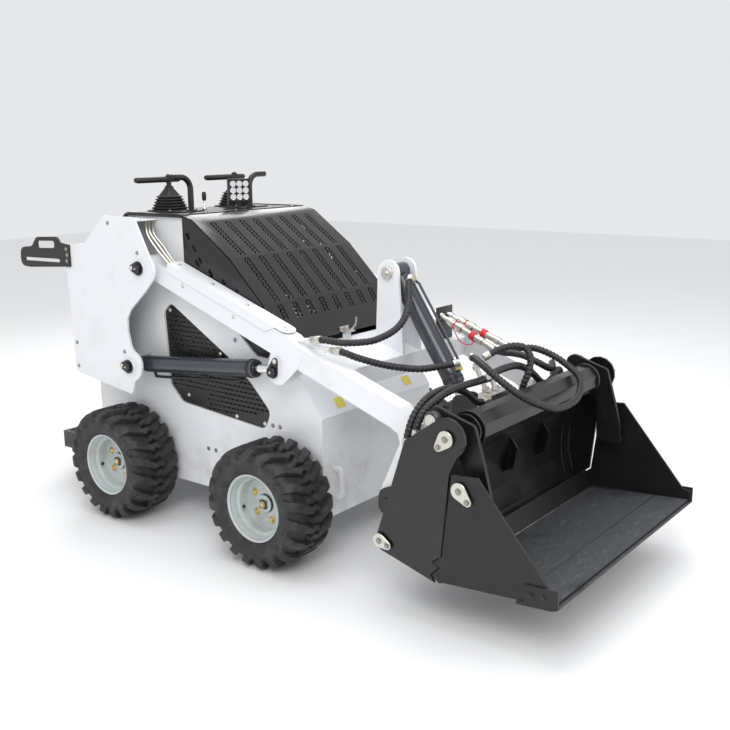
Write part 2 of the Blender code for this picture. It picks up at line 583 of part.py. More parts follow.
def arms():
    """Two lift arms with their pipe covers and knee brackets, and the cross member with its ears."""
    half = ARM_DEPTH / 2
    low_elbow = (ELBOW_X - 0.012, arm_middle(ELBOW_X) - half)
    top_elbow = (ELBOW_X + 0.022, arm_middle(ELBOW_X) + half)
    qx, qz = ATTACH_PIVOT
    side_view = [(0.215, arm_middle(0.215) + half), top_elbow, (1.598, 0.672), (1.606, 0.620),
                 (qx + 0.062, qz + 0.06), (qx + 0.046, qz + 0.01), (qx + 0.024, qz - 0.039), (qx - 0.018, qz - 0.042),
                 (qx - 0.045, qz - 0.008), (qx - 0.028, qz + 0.06), (1.542, 0.604), (1.530, 0.640), low_elbow,
                 (0.215, arm_middle(0.215) - half)]
    cover = [(0.335, arm_middle(0.335) + half), (0.335, arm_middle(0.335) + half + 0.030),
             (1.015, arm_middle(1.015) + half + 0.022), (1.055, arm_middle(1.055) + half + 0.004),
             (1.060, arm_middle(1.060) + half)]
    px, pz = ROD_PIN
    bracket = rounded([(0.975, arm_middle(0.975) + half - 0.02), (1.085, arm_middle(1.085) + half - 0.02),
                       (1.055, arm_middle(1.055) - half, 0.03), (px + 0.035, pz - 0.055, 0.05),
                       (px - 0.030, pz - 0.050, 0.04), (px - 0.036, pz + 0.02, 0.04),
                       (px - 0.010, arm_middle(px) - half + 0.02)])
    for side_name, side in SIDES:
        arm = span(side, ARM_IN, ARM_OUT)
        box = prism(side_view, "y", *arm)
        boss = cross_bar(LIFT_PIVOT, *span(side, TUB_HALF + 0.009, TOWER_OUT - TOWER_PLATE - 0.006), 0.052, 20)
        lid = prism(cover, "y", *arm)
        eye_half = EYE_WIDTH / 2 + SIDE_PLAY
        plates = [prism(bracket, "y", *span(side, CYL_MID + eye_half, CYL_MID + eye_half + BRACKET_PLATE)),
                  prism(bracket, "y", *span(side, CYL_MID - eye_half - BRACKET_PLATE, CYL_MID - eye_half))]
        head = prism(link((px + 0.012, pz + 0.040), ROD_PIN, 0.012, 0.026), "y",
                     *span(side, CYL_MID + eye_half + BRACKET_PLATE - 0.002, CYL_MID + eye_half + BRACKET_PLATE + 0.008))
        cuts = [cross_bar(LIFT_PIVOT, *span(side, TUB_HALF - 0.05, TOWER_OUT + 0.05), PIN_RADIUS + PIN_GAP),
                cross_bar(ATTACH_PIVOT, *span(side, ARM_IN - 0.05, ARM_OUT + 0.05), PIN_RADIUS + PIN_GAP)]
        pipes = [round_bar(*ends, PIPE_RADIUS, 8) for ends in ARM_PIPES] if side < 0 else []
        piece("lift_arm_" + side_name, WHITE, [box, boss, lid, head] + plates + pipes, cuts,
              pivot=(LIFT_PIVOT[0], side * CYL_MID, LIFT_PIVOT[1]))
    rear_z, front_z = arm_middle(CROSS_REAR_X), arm_middle(CROSS_FRONT_X)
    beam = [(CROSS_REAR_X, rear_z + half - 0.002), (CROSS_REAR_X, rear_z - half + 0.004),
            (CROSS_FRONT_X, front_z - half + 0.004), (CROSS_FRONT_X, front_z + half - 0.002)]
    tx, tz = TILT_BASE
    ear = rounded([(CROSS_REAR_X + 0.004, rear_z + half - 0.03), (CROSS_FRONT_X - 0.002, front_z + half - 0.03),
                   (CROSS_FRONT_X - 0.002, front_z + half + 0.02), (tx + 0.052, tz - 0.04, 0.3),
                   (tx + 0.052, tz + 0.052, 0.05), (tx - 0.052, tz + 0.052, 0.05), (tx - 0.054, tz - 0.05, 0.3)])
    solids = [prism(beam, "y", -ARM_IN + TOUCH, ARM_IN - TOUCH)]
    for _, side in SIDES:
        solids.append(prism(ear, "y", *span(side, EAR_GAP, EAR_GAP + EAR_PLATE)))
    solids.append(cross_bar(TILT_BASE, -EAR_GAP - EAR_PLATE - 0.006, EAR_GAP + EAR_PLATE + 0.006, PIN_RADIUS))
    piece("arm_cross_member", WHITE, solids, pivot=(LIFT_PIVOT[0], 0, LIFT_PIVOT[1]))


def cylinder(name, base, tip, y, barrel, gland, rod, rod_inside, eye, eye_width, bore, pin_in_eye, width=None):
    """Hydraulic cylinder: a hollow barrel on its base pin, and a rod with the eye that it pushes."""
    way = (Vector((tip[0], 0, tip[1])) - Vector((base[0], 0, base[1]))).normalized()
    start = Vector((base[0], y, base[1]))
    end = Vector((tip[0], y, tip[1]))
    length = (end - start).length
    half = (width or eye_width) / 2
    foot = eye * 0.8
    solids = [round_bar(start + way * foot, start + way * gland, barrel, 16),
              cross_bar(base, y - half, y + half, eye)]
    cuts = [round_bar(start + way * (foot + BORE_END), start + way * (gland + 0.01), rod + PIN_GAP),
            cross_bar(base, y - half - 0.1, y + half + 0.1, bore)]
    piece(name + "_barrel", CYLINDER_GREY, solids, cuts, pivot=tuple(start))
    solids = [round_bar(start + way * (length - rod_inside), end - way * (eye * 0.6), rod),
              cross_bar(tip, y - eye_width / 2, y + eye_width / 2, eye)]
    cuts = [] if pin_in_eye else [cross_bar(tip, y - eye_width, y + eye_width, bore)]
    piece(name + "_rod", CHROME, solids, cuts, pivot=tuple(end))


def cylinders():
    bore = PIN_RADIUS + PIN_GAP
    for side_name, side in SIDES:
        cylinder("lift_cylinder_" + side_name, LIFT_BASE, ROD_PIN, side * CYL_MID, LIFT_BARREL, LIFT_GLAND,
                 LIFT_ROD, LIFT_ROD_INSIDE, 0.034, EYE_WIDTH, bore, True, width=0.080)
        cylinder("clam_cylinder_" + side_name, CLAM_BASE, ROCKER_PIN, side * CLAM_CYL_MID, CLAM_BARREL, CLAM_GLAND,
                 CLAM_ROD, CLAM_ROD_INSIDE, 0.030, 0.030, CLAM_PIN + PIN_GAP, True, width=0.050)
    cylinder("tilt_cylinder", TILT_BASE, TILT_ROD_PIN, 0, TILT_BARREL, TILT_GLAND, TILT_ROD, TILT_ROD_INSIDE,
             0.034, 0.050, bore, True, width=0.080)


# ---- attach plate and bucket ------------------------------------------------------------------
def back_x(z):
    """x of the bucket's back plane at height z."""
    return BACK_X + BACK_LEAN * (z - BACK_Z)


def back_top(x):
    """Height of the bucket's top plate at x."""
    (x0, z0), (x1, z1) = TOP_PLATE
    slope = (z1 - z0) / (x1 - x0)
    return z0 + slope * (x - x0) + TOP_THICK * math.hypot(1, slope)


def attach_plate():
    """Leaning plate that hangs on the arms' lower pins and takes the tilt rod between two lugs."""
    front = TOUCH * 1.1
    plate = [(back_x(z) - front - inset, z) for inset, z in
             ((0, ATTACH_LOW_Z), (0, ATTACH_HIGH_Z), (ATTACH_PLATE, ATTACH_HIGH_Z), (ATTACH_PLATE, ATTACH_LOW_Z))]
    qx, qz = ATTACH_PIVOT
    lug = rounded([(back_x(0.300) - 0.008, 0.300), (back_x(0.470) - 0.008, 0.470), (qx - 0.034, qz + 0.045, 0.035),
                   (qx - 0.040, qz - 0.042, 0.035), (qx + 0.01, qz - 0.050, 0.02)][::-1])
    tx, tz = TILT_ROD_PIN
    rod_lug = rounded([(back_x(0.540) - 0.008, 0.540), (back_x(0.638) - 0.008, 0.638), (tx + 0.020, tz + 0.046, 0.03),
                       (tx - 0.040, tz + 0.040, 0.035), (tx - 0.040, tz - 0.045, 0.035)][::-1])
    solids = [prism(plate, "y", -ATTACH_HALF, ATTACH_HALF)]
    for _, side in SIDES:
        inner, outer = ARM_IN - SIDE_PLAY, ARM_OUT + SIDE_PLAY
        solids.append(prism(lug, "y", *span(side, inner - LUG_PLATE, inner)))
        solids.append(prism(lug, "y", *span(side, outer, outer + LUG_PLATE)))
        solids.append(cross_bar(ATTACH_PIVOT, *span(side, inner - LUG_PLATE - 0.006, outer + LUG_PLATE + 0.006),
                                PIN_RADIUS))
        solids.append(prism(rod_lug, "y", *span(side, 0.025 + SIDE_PLAY, 0.025 + SIDE_PLAY + LUG_PLATE)))
    piece("attach_plate", BLACK, solids, pivot=(qx, 0, qz))


def bucket_back():
    """Fixed rear half: side plates with lugs, blade, top beam, ribs and the plate behind."""
    cx, cz = CLAM_PIVOT
    reach = LUG_RADIUS
    side_view = [(back_x(0.663) + 0.002, 0.663)]
    side_view += [(cx + reach * math.cos(a), cz + reach * math.sin(a))
                  for a in [math.radians(d) for d in (112, 88, 64, 40, 16, -8, -32, -56)]]
    side_view += SPLIT + [(1.771, 0.172), (1.540, 0.234), (1.520, 0.246), (1.513, 0.262)]
    side_view = side_view[::-1]
    blade = [(1.770, 0.640), (1.722, 0.560), (1.690, 0.450), (1.690, 0.340), (1.712, 0.250), (1.748, 0.182)]
    low_blade = [(1.716, 0.540)] + blade[2:]
    inner = SIDE_OUT - SIDE_PLATE
    solids = [prism(strip(blade, MOULD_PLATE), "y", -RIB_OUT, RIB_OUT),
              prism(strip(low_blade, MOULD_PLATE), "y", -inner - 0.002, inner + 0.002)]
    rear_low, rear_high = 0.262, 0.655
    rear = [(back_x(rear_low), rear_low), (back_x(rear_low) + 0.010, rear_low),
            (back_x(rear_high) + 0.010, rear_high), (back_x(rear_high), rear_high)]
    solids.append(prism(rear, "y", -RIB_OUT, RIB_OUT))
    rib = [(back_x(rear_low) + 0.004, rear_low)] + [(x - 0.003, z) for x, z in blade[::-1]] + \
          [(back_x(rear_high) + 0.004, rear_high)]
    top = strip(TOP_PLATE, TOP_THICK)
    solids.append(prism(top, "y", -BEAM_HALF, BEAM_HALF))
    solids.append(cross_bar(CLAM_PIVOT, -BEAM_HALF, BEAM_HALF, BEAM_RADIUS, 8))
    for _, side in SIDES:
        solids.append(prism(side_view, "y", *span(side, inner, SIDE_OUT)))
        solids.append(prism(rib, "y", *span(side, RIB_OUT - 0.010, RIB_OUT)))
        solids.append(cross_bar(CLAM_PIVOT, *span(side, BEAM_HALF - 0.01, SIDE_OUT + 0.007), PIN_RADIUS))
        solids.append(cross_bar(CLAM_BASE, *span(side, RIB_OUT - 0.004, SIDE_OUT + 0.007), CLAM_PIN))
    piece("bucket_back", BLACK, solids, pivot=(ATTACH_PIVOT[0], 0, ATTACH_PIVOT[1]))


def floor_under(x):
    """Height of the floor's underside at x; it rises towards the cutting edge."""
    rise = EDGE_TIP_Z + EDGE_BAR - FLOOR_REAR[1]
    return FLOOR_REAR[1] + rise * (x - FLOOR_REAR[0]) / (EDGE_TIP_X - FLOOR_REAR[0])


def bucket_clam():
    """Opening front half: floor, sloped heel, side plates, and rockers on the pivot pins."""
    inner = SIDE_OUT - SIDE_PLATE
    seam = [(x + PANEL_GAP, z) for x, z in SPLIT]
    front = EDGE_TIP_X - 0.005
    side_view = [(front, floor_under(front)), (front, 0.262), (2.207, 0.266), (1.936, 0.586),
                 (1.838, 0.579)] + seam[1:] + [(1.790, 0.174), (FLOOR_REAR[0], floor_under(FLOOR_REAR[0]))]
    tip = EDGE_TIP_X - 0.012
    floor_plate = strip([FLOOR_REAR, (tip, floor_under(tip))], FLOOR_PLATE)
    heel = strip([(1.770, 0.262), FLOOR_REAR, (FLOOR_REAR[0] + 0.1, floor_under(FLOOR_REAR[0] + 0.1))], FLOOR_PLATE)
    cx, cz = CLAM_PIVOT
    px, pz = ROCKER_PIN
    rocker = rounded([(px - 0.022, pz - 0.034, 0.02), (cx - 0.006, cz - 0.050, 0.03), (1.846, 0.590, 0.03),
                      (1.850, 0.430), (1.955, 0.430), (1.950, 0.510, 0.02), (1.926, 0.600, 0.03),
                      (1.885, 0.738, 0.02), (cx + 0.01, cz + 0.055, 0.05), (px - 0.004, pz + 0.044, 0.03),
                      (px - 0.040, pz + 0.020, 0.03)])
    rocker_in = ROCKER_OUT - ROCKER_PLATE
    solids = [prism(floor_plate, "y", -inner - 0.001, inner + 0.001),
              prism(heel, "y", -inner + SIDE_PLAY, inner - SIDE_PLAY)]
    cuts = []
    for _, side in SIDES:
        solids.append(prism(side_view, "y", *span(side, inner, SIDE_OUT)))
        solids.append(prism(rocker, "y", *span(side, rocker_in, ROCKER_OUT)))
        solids.append(cross_bar(STAY_PIN, *span(side, rocker_in - 0.008, SIDE_OUT + 0.006), PIN_RADIUS))
        low, high = span(side, rocker_in + 0.002, inner + 0.001)
        solids.append(block((1.862, low, 0.432), (1.948, high, 0.442)))
        cuts.append(cross_bar(CLAM_PIVOT, *span(side, rocker_in - 0.02, ROCKER_OUT + 0.02), PIN_RADIUS + PIN_GAP))
    piece("bucket_clam", BLACK, solids, cuts, pivot=(CLAM_PIVOT[0], 0, CLAM_PIVOT[1]))
    back = EDGE_TIP_X - EDGE_LENGTH
    blade = [(back, floor_under(back) - TOUCH), (EDGE_TIP_X, floor_under(EDGE_TIP_X) - TOUCH),
             (EDGE_TIP_X, floor_under(EDGE_TIP_X) - 0.005), (EDGE_TIP_X - 0.020, floor_under(EDGE_TIP_X - 0.020) - EDGE_BAR),
             (back, floor_under(back) - EDGE_BAR)]
    solids = [prism(blade, "y", -BUCKET_HALF, BUCKET_HALF)]
    cutter = [(EDGE_TIP_X, floor_under(EDGE_TIP_X) - 0.004), (EDGE_TIP_X, 0.274), (2.123, 0.268),
              (2.123, floor_under(2.123) - 0.004)]
    for _, side in SIDES:
        solids.append(prism(cutter, "y", *span(side, SIDE_OUT + TOUCH, BUCKET_HALF)))
    piece("cutting_edge", WORN_STEEL, solids, pivot=(CLAM_PIVOT[0], 0, CLAM_PIVOT[1]))


# ---- hoses ------------------------------------------------------------------------------------
def smooth(route, step):
    """Points about a step apart on a smooth curve through a route's points."""
    route = [Vector(point) for point in route]
    padded = [2 * route[0] - route[1]] + route + [2 * route[-1] - route[-2]]
    points = [route[0]]
    for a, b, c, d in zip(padded, padded[1:], padded[2:], padded[3:]):
        pieces = max(1, round((c - b).length / step))
        for k in range(1, pieces + 1):
            t = k / pieces
            points.append(0.5 * (2 * b + (c - a) * t + (2 * a - 5 * b + 4 * c - d) * t ** 2
                                 + (3 * b - a - 3 * c + d) * t ** 3))
    return points


def hoses():
    """Hydraulic hoses, the quick couplers on the cross member and the manifold on the bucket."""
    for name, route in HOSES.items():
        pipe(name, RUBBER, smooth(route, HOSE_STEP), HOSE_RADIUS)
    plate_x = (CROSS_REAR_X + CROSS_FRONT_X) / 2 + 0.045
    top = arm_middle(plate_x - 0.003) + ARM_DEPTH / 2 - 0.002 + TOUCH
    plate = block((plate_x - 0.003, 0.215, top), (plate_x + 0.003, 0.335, 0.958))
    piece("coupler_bracket", STEEL, [plate] + [round_bar(*ends, 0.0125) for ends in COUPLERS])
    base = [(x, back_top(x) + TOUCH) for x in (1.655, 1.715)] + [(1.715, 0.735), (1.655, 0.735)]
    piece("hose_manifold", STEEL, [prism(base, "y", -0.130, 0.020)] + [round_bar(*ends, 0.010, 8) for ends in RISERS])


# ---- the machine ------------------------------------------------------------------------------
for old in list(bpy.data.objects):
    bpy.data.objects.remove(old)

WHITE = finish("white paint", (0.80, 0.81, 0.82), 0.35)
BLACK = finish("black paint", (0.012, 0.012, 0.013), 0.40)
WHEEL_WHITE = finish("rim paint", (0.72, 0.75, 0.76), 0.35)
RUBBER = finish("rubber", (0.022, 0.022, 0.024), 0.85)
MOTOR_GREY = finish("motor grey", (0.10, 0.10, 0.11), 0.50)
CYLINDER_GREY = finish("cylinder paint", (0.055, 0.065, 0.085), 0.32)
CHROME = finish("chrome", (0.80, 0.80, 0.82), 0.12, 1.0)
STEEL = finish("zinc steel", (0.55, 0.54, 0.50), 0.35, 1.0)
WORN_STEEL = finish("worn steel", (0.05, 0.055, 0.065), 0.50, 0.6)

wheels()
tub()
towers()
hood()
deck()
operator_station()
arms()
cylinders()
attach_plate()
bucket_back()
bucket_clam()
hoses()
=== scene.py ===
"""Looks of a stand-on mini skid steer loader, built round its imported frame.

Lengths are metres. Places are given from the rear axle, as in the design: x forward, y to the machine's
left, z up from the ground. New pieces are surfaces worked out as whole arrays.
"""
import json
import math

import bmesh
import bpy
import numpy as np
from mathutils import Matrix, Vector
from mathutils.geometry import delaunay_2d_cdt


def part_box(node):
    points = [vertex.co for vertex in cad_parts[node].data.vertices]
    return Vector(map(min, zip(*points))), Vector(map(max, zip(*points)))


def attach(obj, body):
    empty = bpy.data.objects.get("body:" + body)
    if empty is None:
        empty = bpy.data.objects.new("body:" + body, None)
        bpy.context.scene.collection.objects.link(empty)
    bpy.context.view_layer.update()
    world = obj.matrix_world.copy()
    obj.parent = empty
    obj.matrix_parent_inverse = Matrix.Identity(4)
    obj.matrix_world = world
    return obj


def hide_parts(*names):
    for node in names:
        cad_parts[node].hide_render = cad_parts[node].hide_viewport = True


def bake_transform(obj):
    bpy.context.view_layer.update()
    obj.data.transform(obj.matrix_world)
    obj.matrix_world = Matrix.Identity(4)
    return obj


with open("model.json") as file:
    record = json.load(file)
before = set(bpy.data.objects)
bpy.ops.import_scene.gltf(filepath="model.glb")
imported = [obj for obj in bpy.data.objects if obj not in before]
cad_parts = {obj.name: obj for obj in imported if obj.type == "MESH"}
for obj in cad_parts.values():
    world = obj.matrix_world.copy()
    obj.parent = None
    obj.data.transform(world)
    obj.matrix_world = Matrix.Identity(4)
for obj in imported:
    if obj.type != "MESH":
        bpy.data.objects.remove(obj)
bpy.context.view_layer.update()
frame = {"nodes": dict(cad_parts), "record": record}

# ---- driving sizes, read from the frame or named ----------------------------------------------
SIDES = (("right", -1), ("left", 1))
REAR_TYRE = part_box("tyre_rear_left")
FRONT_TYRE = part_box("tyre_front_left")
AXLE_X = (REAR_TYRE[0][0] + REAR_TYRE[1][0]) / 2
WHEELBASE = (FRONT_TYRE[0][0] + FRONT_TYRE[1][0]) / 2 - AXLE_X
TYRE_RADIUS = REAR_TYRE[1][2] / 2
TRACK_HALF = (REAR_TYRE[1][1] + REAR_TYRE[0][1]) / 2
LUG_DEPTH = 0.0228
LUGS = 19
TUB_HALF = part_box("tub")[1][1]
TOWER_OUT = 0.518
DECK_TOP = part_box("control_deck")[1][2]
LIFT_PIVOT, LIFT_BASE, ROD_PIN = (0.199, 1.150), (0.090, 0.706), (0.935, 0.789)
TILT_BASE, TILT_ROD_PIN = (1.187, 1.152), (1.520, 0.645)
CLAM_PIVOT, ROCKER_PIN, CLAM_BASE, STAY_PIN = (1.817, 0.699), (1.735, 0.742), (1.540, 0.273), (1.871, 0.529)
SIDE_OUT = 0.590
CYL_MID, CLAM_CYL_MID = 0.442, 0.549
ARM_SLOPE, ARM_HALF_DEPTH = -0.345, 0.0415
HOSE_RADIUS = 0.0135
ARM_PIPES = (((1.000, -0.445, 0.916), (1.1236, -0.440, 0.930)),
             ((1.000, -0.425, 0.908), (1.2076, -0.420, 0.894)))
COUPLERS = (((1.205, 0.25, 0.948), (1.475, 0.25, 0.832)), ((1.225, 0.30, 0.940), (1.527, 0.30, 0.834)))
RISERS = (((1.672, -0.085, 0.725), (1.611, -0.085, 0.838)), ((1.690, -0.045, 0.725), (1.632, -0.045, 0.833)))


BEVELLED = ("tub", "tower_left", "tower_right", "lift_arm_left", "lift_arm_right", "arm_cross_member",
            "attach_plate",
            "bucket_back", "bucket_clam", "cutting_edge", "operator_platform", "rear_handle_left",
            "rear_handle_right", "tie_down_loop", "rear_panel", "knee_pad", "control_deck", "hose_manifold")


# ---- surfaces ---------------------------------------------------------------------------------
def grid(points, wrap_u=False, wrap_v=False, cap=False):
    """Quads over a grid of points (rows, columns, 3); either way may close on itself, cap closes the ends."""
    rows, columns = points.shape[:2]
    u = np.arange(rows if wrap_u else rows - 1)
    v = np.arange(columns if wrap_v else columns - 1)
    u, v = np.meshgrid(u, v, indexing="ij")
    u2, v2 = (u + 1) % rows, (v + 1) % columns
    quads = np.stack([u * columns + v, u2 * columns + v, u2 * columns + v2, u * columns + v2], -1).reshape(-1,
                                                                                                           4)
    faces = quads.tolist()
    if cap:
        faces.append(list(range(columns)))
        faces.append(list(range((rows - 1) * columns, rows * columns))[::-1])
    return points.reshape(-1, 3), faces


def join(shapes):
    """Several (points, faces) shapes as one."""
    points, faces, base = [], [], 0
    for vertices, polygons in shapes:
        points.append(vertices)
        faces += [[i + base for i in polygon] for polygon in polygons]
        base += len(vertices)
    return np.concatenate(points), faces


def moved(shape, turn=None, by=(0, 0, 0)):
    """A shape turned by a 3 by 3 matrix and then moved."""
    points = shape[0] if turn is None else shape[0] @ np.asarray(turn).T
    return points + np.asarray(by, float), shape[1]


def basis(way, near=(0, 0, 1)):
    """Turn that takes +Z to a direction."""
    w = np.asarray(way, float) / np.linalg.norm(way)
    a = np.cross(near, w)
    if np.linalg.norm(a) < 1e-6:
        a = np.cross((1, 0, 0), w)
    a = a / np.linalg.norm(a)
    return np.stack([a, np.cross(w, a), w], 1)


def lathe(profile, sides=48, closed=False):
    """Profile of (radius, height) turned round Z: each point runs round a circle of its own radius."""
    profile = np.asarray(profile, float)
    angle = np.arange(sides) * math.tau / sides
    ring = np.stack([np.cos(angle), np.sin(angle)], -1)
    points = np.empty((len(profile), sides, 3))
    points[..., :2] = profile[:, None, :1] * ring[None]
    points[..., 2] = profile[:, None, 1]
    shape = grid(points, wrap_u=closed, wrap_v=True, cap=not closed)
    return shape[0], [polygon[::-1] for polygon in shape[1]]


def curve(route, step):
    """Points about a step apart on a smooth curve through a route's points."""
    route = np.asarray(route, float)
    padded = np.vstack([2 * route[0] - route[1], route, 2 * route[-1] - route[-2]])
    runs = []
    for a, b, c, d in zip(padded, padded[1:], padded[2:], padded[3:]):
        pieces = max(1, int(round(np.linalg.norm(c - b) / step)))
        t = (np.arange(pieces) / pieces)[:, None]
        runs.append(0.5 * (2 * b + (c - a) * t + (2 * a - 5 * b + 4 * c - d) * t ** 2
                           + (3 * b - a - 3 * c + d) * t ** 3))
    return np.vstack(runs + [route[-1:]])


def tube(path, radius, sides=14, ridge=None):
    """Round tube along a path: circles square to it, turned as little as possible from one to the next.
    ridge(length along, angle) is added to the radius."""
    path = np.asarray(path, float)
    ways = np.gradient(path, axis=0)
    ways /= np.linalg.norm(ways, axis=1)[:, None]
    across = np.empty_like(path)
    side = np.cross(ways[0], (0.13, 0.29, 0.95))
    across[0] = side / np.linalg.norm(side)
    for k in range(1, len(path)):
        side = across[k - 1] - ways[k] * across[k - 1].dot(ways[k])
        across[k] = side / np.linalg.norm(side)
    other = np.cross(ways, across)
    angle = np.arange(sides) * math.tau / sides
    size = np.broadcast_to(np.asarray(radius, float).reshape(-1, 1), (len(path), sides)).copy()
    if ridge is not None:
        along = np.concatenate([[0], np.cumsum(np.linalg.norm(np.diff(path, axis=0), axis=1))])
        size += ridge(along[:, None], angle[None])
    points = path[:, None] + size[..., None] * (across[:, None] * np.cos(angle)[None, :, None]
                                                 + other[:, None] * np.sin(angle)[None, :, None])
    shape = grid(points, wrap_v=True, cap=True)
    return shape[0], [polygon[::-1] for polygon in shape[1]]


def bead(path, radius, wave=0.0006, pitch=0.008):
    """Weld bead: a thin tube whose radius rises and falls by wave once in each pitch along it."""
    return tube(path, radius, 8, lambda s, a: wave * np.cos(s * math.tau / pitch))


def plate(outline, low, high, axis="y", bevel=0.0):
    """Outline drawn square to an axis and pulled along it, with a chamfer all round."""
    outline = np.asarray(outline, float)
    area = np.sum(outline[:, 0] * np.roll(outline[:, 1], -1) - outline[:, 1] * np.roll(outline[:, 0], -1))
    if area < 0:
        outline = outline[::-1]
    ahead = np.roll(outline, -1, 0) - outline
    ahead /= np.linalg.norm(ahead, axis=1)[:, None]
    normal = np.stack([ahead[:, 1], -ahead[:, 0]], -1)
    corner = normal + np.roll(normal, 1, 0)
    corner /= np.maximum(np.sum(corner * normal, 1), 0.3)[:, None]
    rings = [(low, bevel), (low + bevel, 0), (high - bevel, 0), (high, bevel)] if bevel else [(low, 0),
                                                                                              (high, 0)]
    points = np.empty((len(rings), len(outline), 3))
    columns = {"x": (1, 2, 0), "y": (0, 2, 1), "z": (0, 1, 2)}[axis]
    for ring, (height, inset) in zip(points, rings):
        flat = outline - corner * inset
        ring[:, columns[0]], ring[:, columns[1]], ring[:, columns[2]] = flat[:, 0], flat[:, 1], height
    vertices, faces = grid(points, wrap_v=True, cap=True)
    return vertices, faces if axis == "y" else [polygon[::-1] for polygon in faces]


def rounded(corners, steps=5):
    """Closed outline from corners (a, b) and rounded corners (a, b, radius), arcs tangent to their edges."""
    outline = []
    for index, corner in enumerate(corners):
        here = np.array(corner[:2], float)
        if len(corner) == 2:
            outline.append(here)
            continue
        back = np.array(corners[index - 1][:2]) - here
        ahead = np.array(corners[(index + 1) % len(corners)][:2]) - here
        back, ahead = back / np.linalg.norm(back), ahead / np.linalg.norm(ahead)
        half = math.acos(np.clip(back.dot(ahead), -1, 1)) / 2
        middle = (back + ahead) / np.linalg.norm(back + ahead)
        centre = here + middle * corner[2] / math.sin(half)
        start = here + back * corner[2] / math.tan(half) - centre
        end = here + ahead * corner[2] / math.tan(half) - centre
        turn = math.atan2(start[0] * end[1] - start[1] * end[0], start.dot(end))
        for k in range(steps + 1):
            c, s = math.cos(turn * k / steps), math.sin(turn * k / steps)
            outline.append(centre + np.array([c * start[0] - s * start[1], s * start[0] + c * start[1]]))
    return outline


def drop(eye, tail, eye_radius, tail_radius, sides=9):
    """Tear-shaped outline: a large arc about one point and a small one about another."""
    eye, tail = np.array(eye, float), np.array(tail, float)
    heading = math.atan2(*(tail - eye)[::-1])
    lean = math.acos((eye_radius - tail_radius) / np.linalg.norm(tail - eye))
    big = heading + np.linspace(lean, math.tau - lean, 2 * sides)
    small = heading + np.linspace(-lean, lean, sides)
    return [eye + eye_radius * np.array([math.cos(a), math.sin(a)]) for a in big] + \
           [tail + tail_radius * np.array([math.cos(a), math.sin(a)]) for a in small]


def brick(low, high, bevel=0.002):
    """Box with chamfered edges along Z and at its ends."""
    outline = [(low[0], low[1]), (high[0], low[1]), (high[0], high[1]), (low[0], high[1])]
    return plate(rounded([(*c, max(bevel, 1e-4)) for c in outline], 2), low[2], high[2], "z", bevel * 0.7)


def bolt(place, way, size=0.008, washer=True):
    """Hexagon head on a washer, its foot at a place and its head along a direction."""
    shapes = [lathe([(0.001, 0), (size, 0), (size, size * 0.55), (size * 0.86, size * 0.72),
                     (0.001, size * 0.72)], 6)]
    if washer:
        ring = size * 1.45
        shapes.append(lathe([(0.001, 0), (ring, 0), (ring, size * 0.16), (ring * 0.94, size * 0.22),
                             (0.001, size * 0.22)], 18))
    return moved(join(shapes), basis(way), place)


def piece(name, shape, finish, body, smooth=32, stands_for=()):
    """A named mesh in the frame's coordinates, riding on a body; when body is a tuple of two bodies and two
    points, these are not used and the mesh stays where it is. stands_for names the nodes it replaces.
    """
    mesh = bpy.data.meshes.new(name)
    mesh.from_pydata((shape[0] + np.array([AXLE_X, 0, 0])).tolist(), [], shape[1])
    mesh.validate()
    work = bmesh.new()
    work.from_mesh(mesh)
    bmesh.ops.recalc_face_normals(work, faces=work.faces)
    work.to_mesh(mesh)
    work.free()
    mesh.shade_smooth()
    mesh.set_sharp_from_angle(angle=math.radians(smooth))
    mesh.materials.append(finish)
    thing = bpy.data.objects.new(name, mesh)
    bpy.context.scene.collection.objects.link(thing)
    if isinstance(body, str):
        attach(thing, body)
    else:
        start, end = [(x + AXLE_X, y, z) for x, y, z in body[2:]]
        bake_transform(thing)
        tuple(start)
        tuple(end)
    if stands_for:
        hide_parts(*stands_for)
    return thing


# ---- shader sums ------------------------------------------------------------------------------
class Value:
    """A number that varies over a surface; sums on it add Math nodes."""

    def __init__(self, finish, socket):
        self.finish, self.socket = finish, socket

    def __add__(self, other):
        return self.finish.math("ADD", self, other)

    def __sub__(self, other):
        return self.finish.math("SUBTRACT", self, other)

    def __rsub__(self, other):
        return self.finish.math("SUBTRACT", other, self)

    def __mul__(self, other):
        return self.finish.math("MULTIPLY", self, other)

    def __truediv__(self, other):
        return self.finish.math("DIVIDE", self, other)

    __radd__, __rmul__ = __add__, __mul__


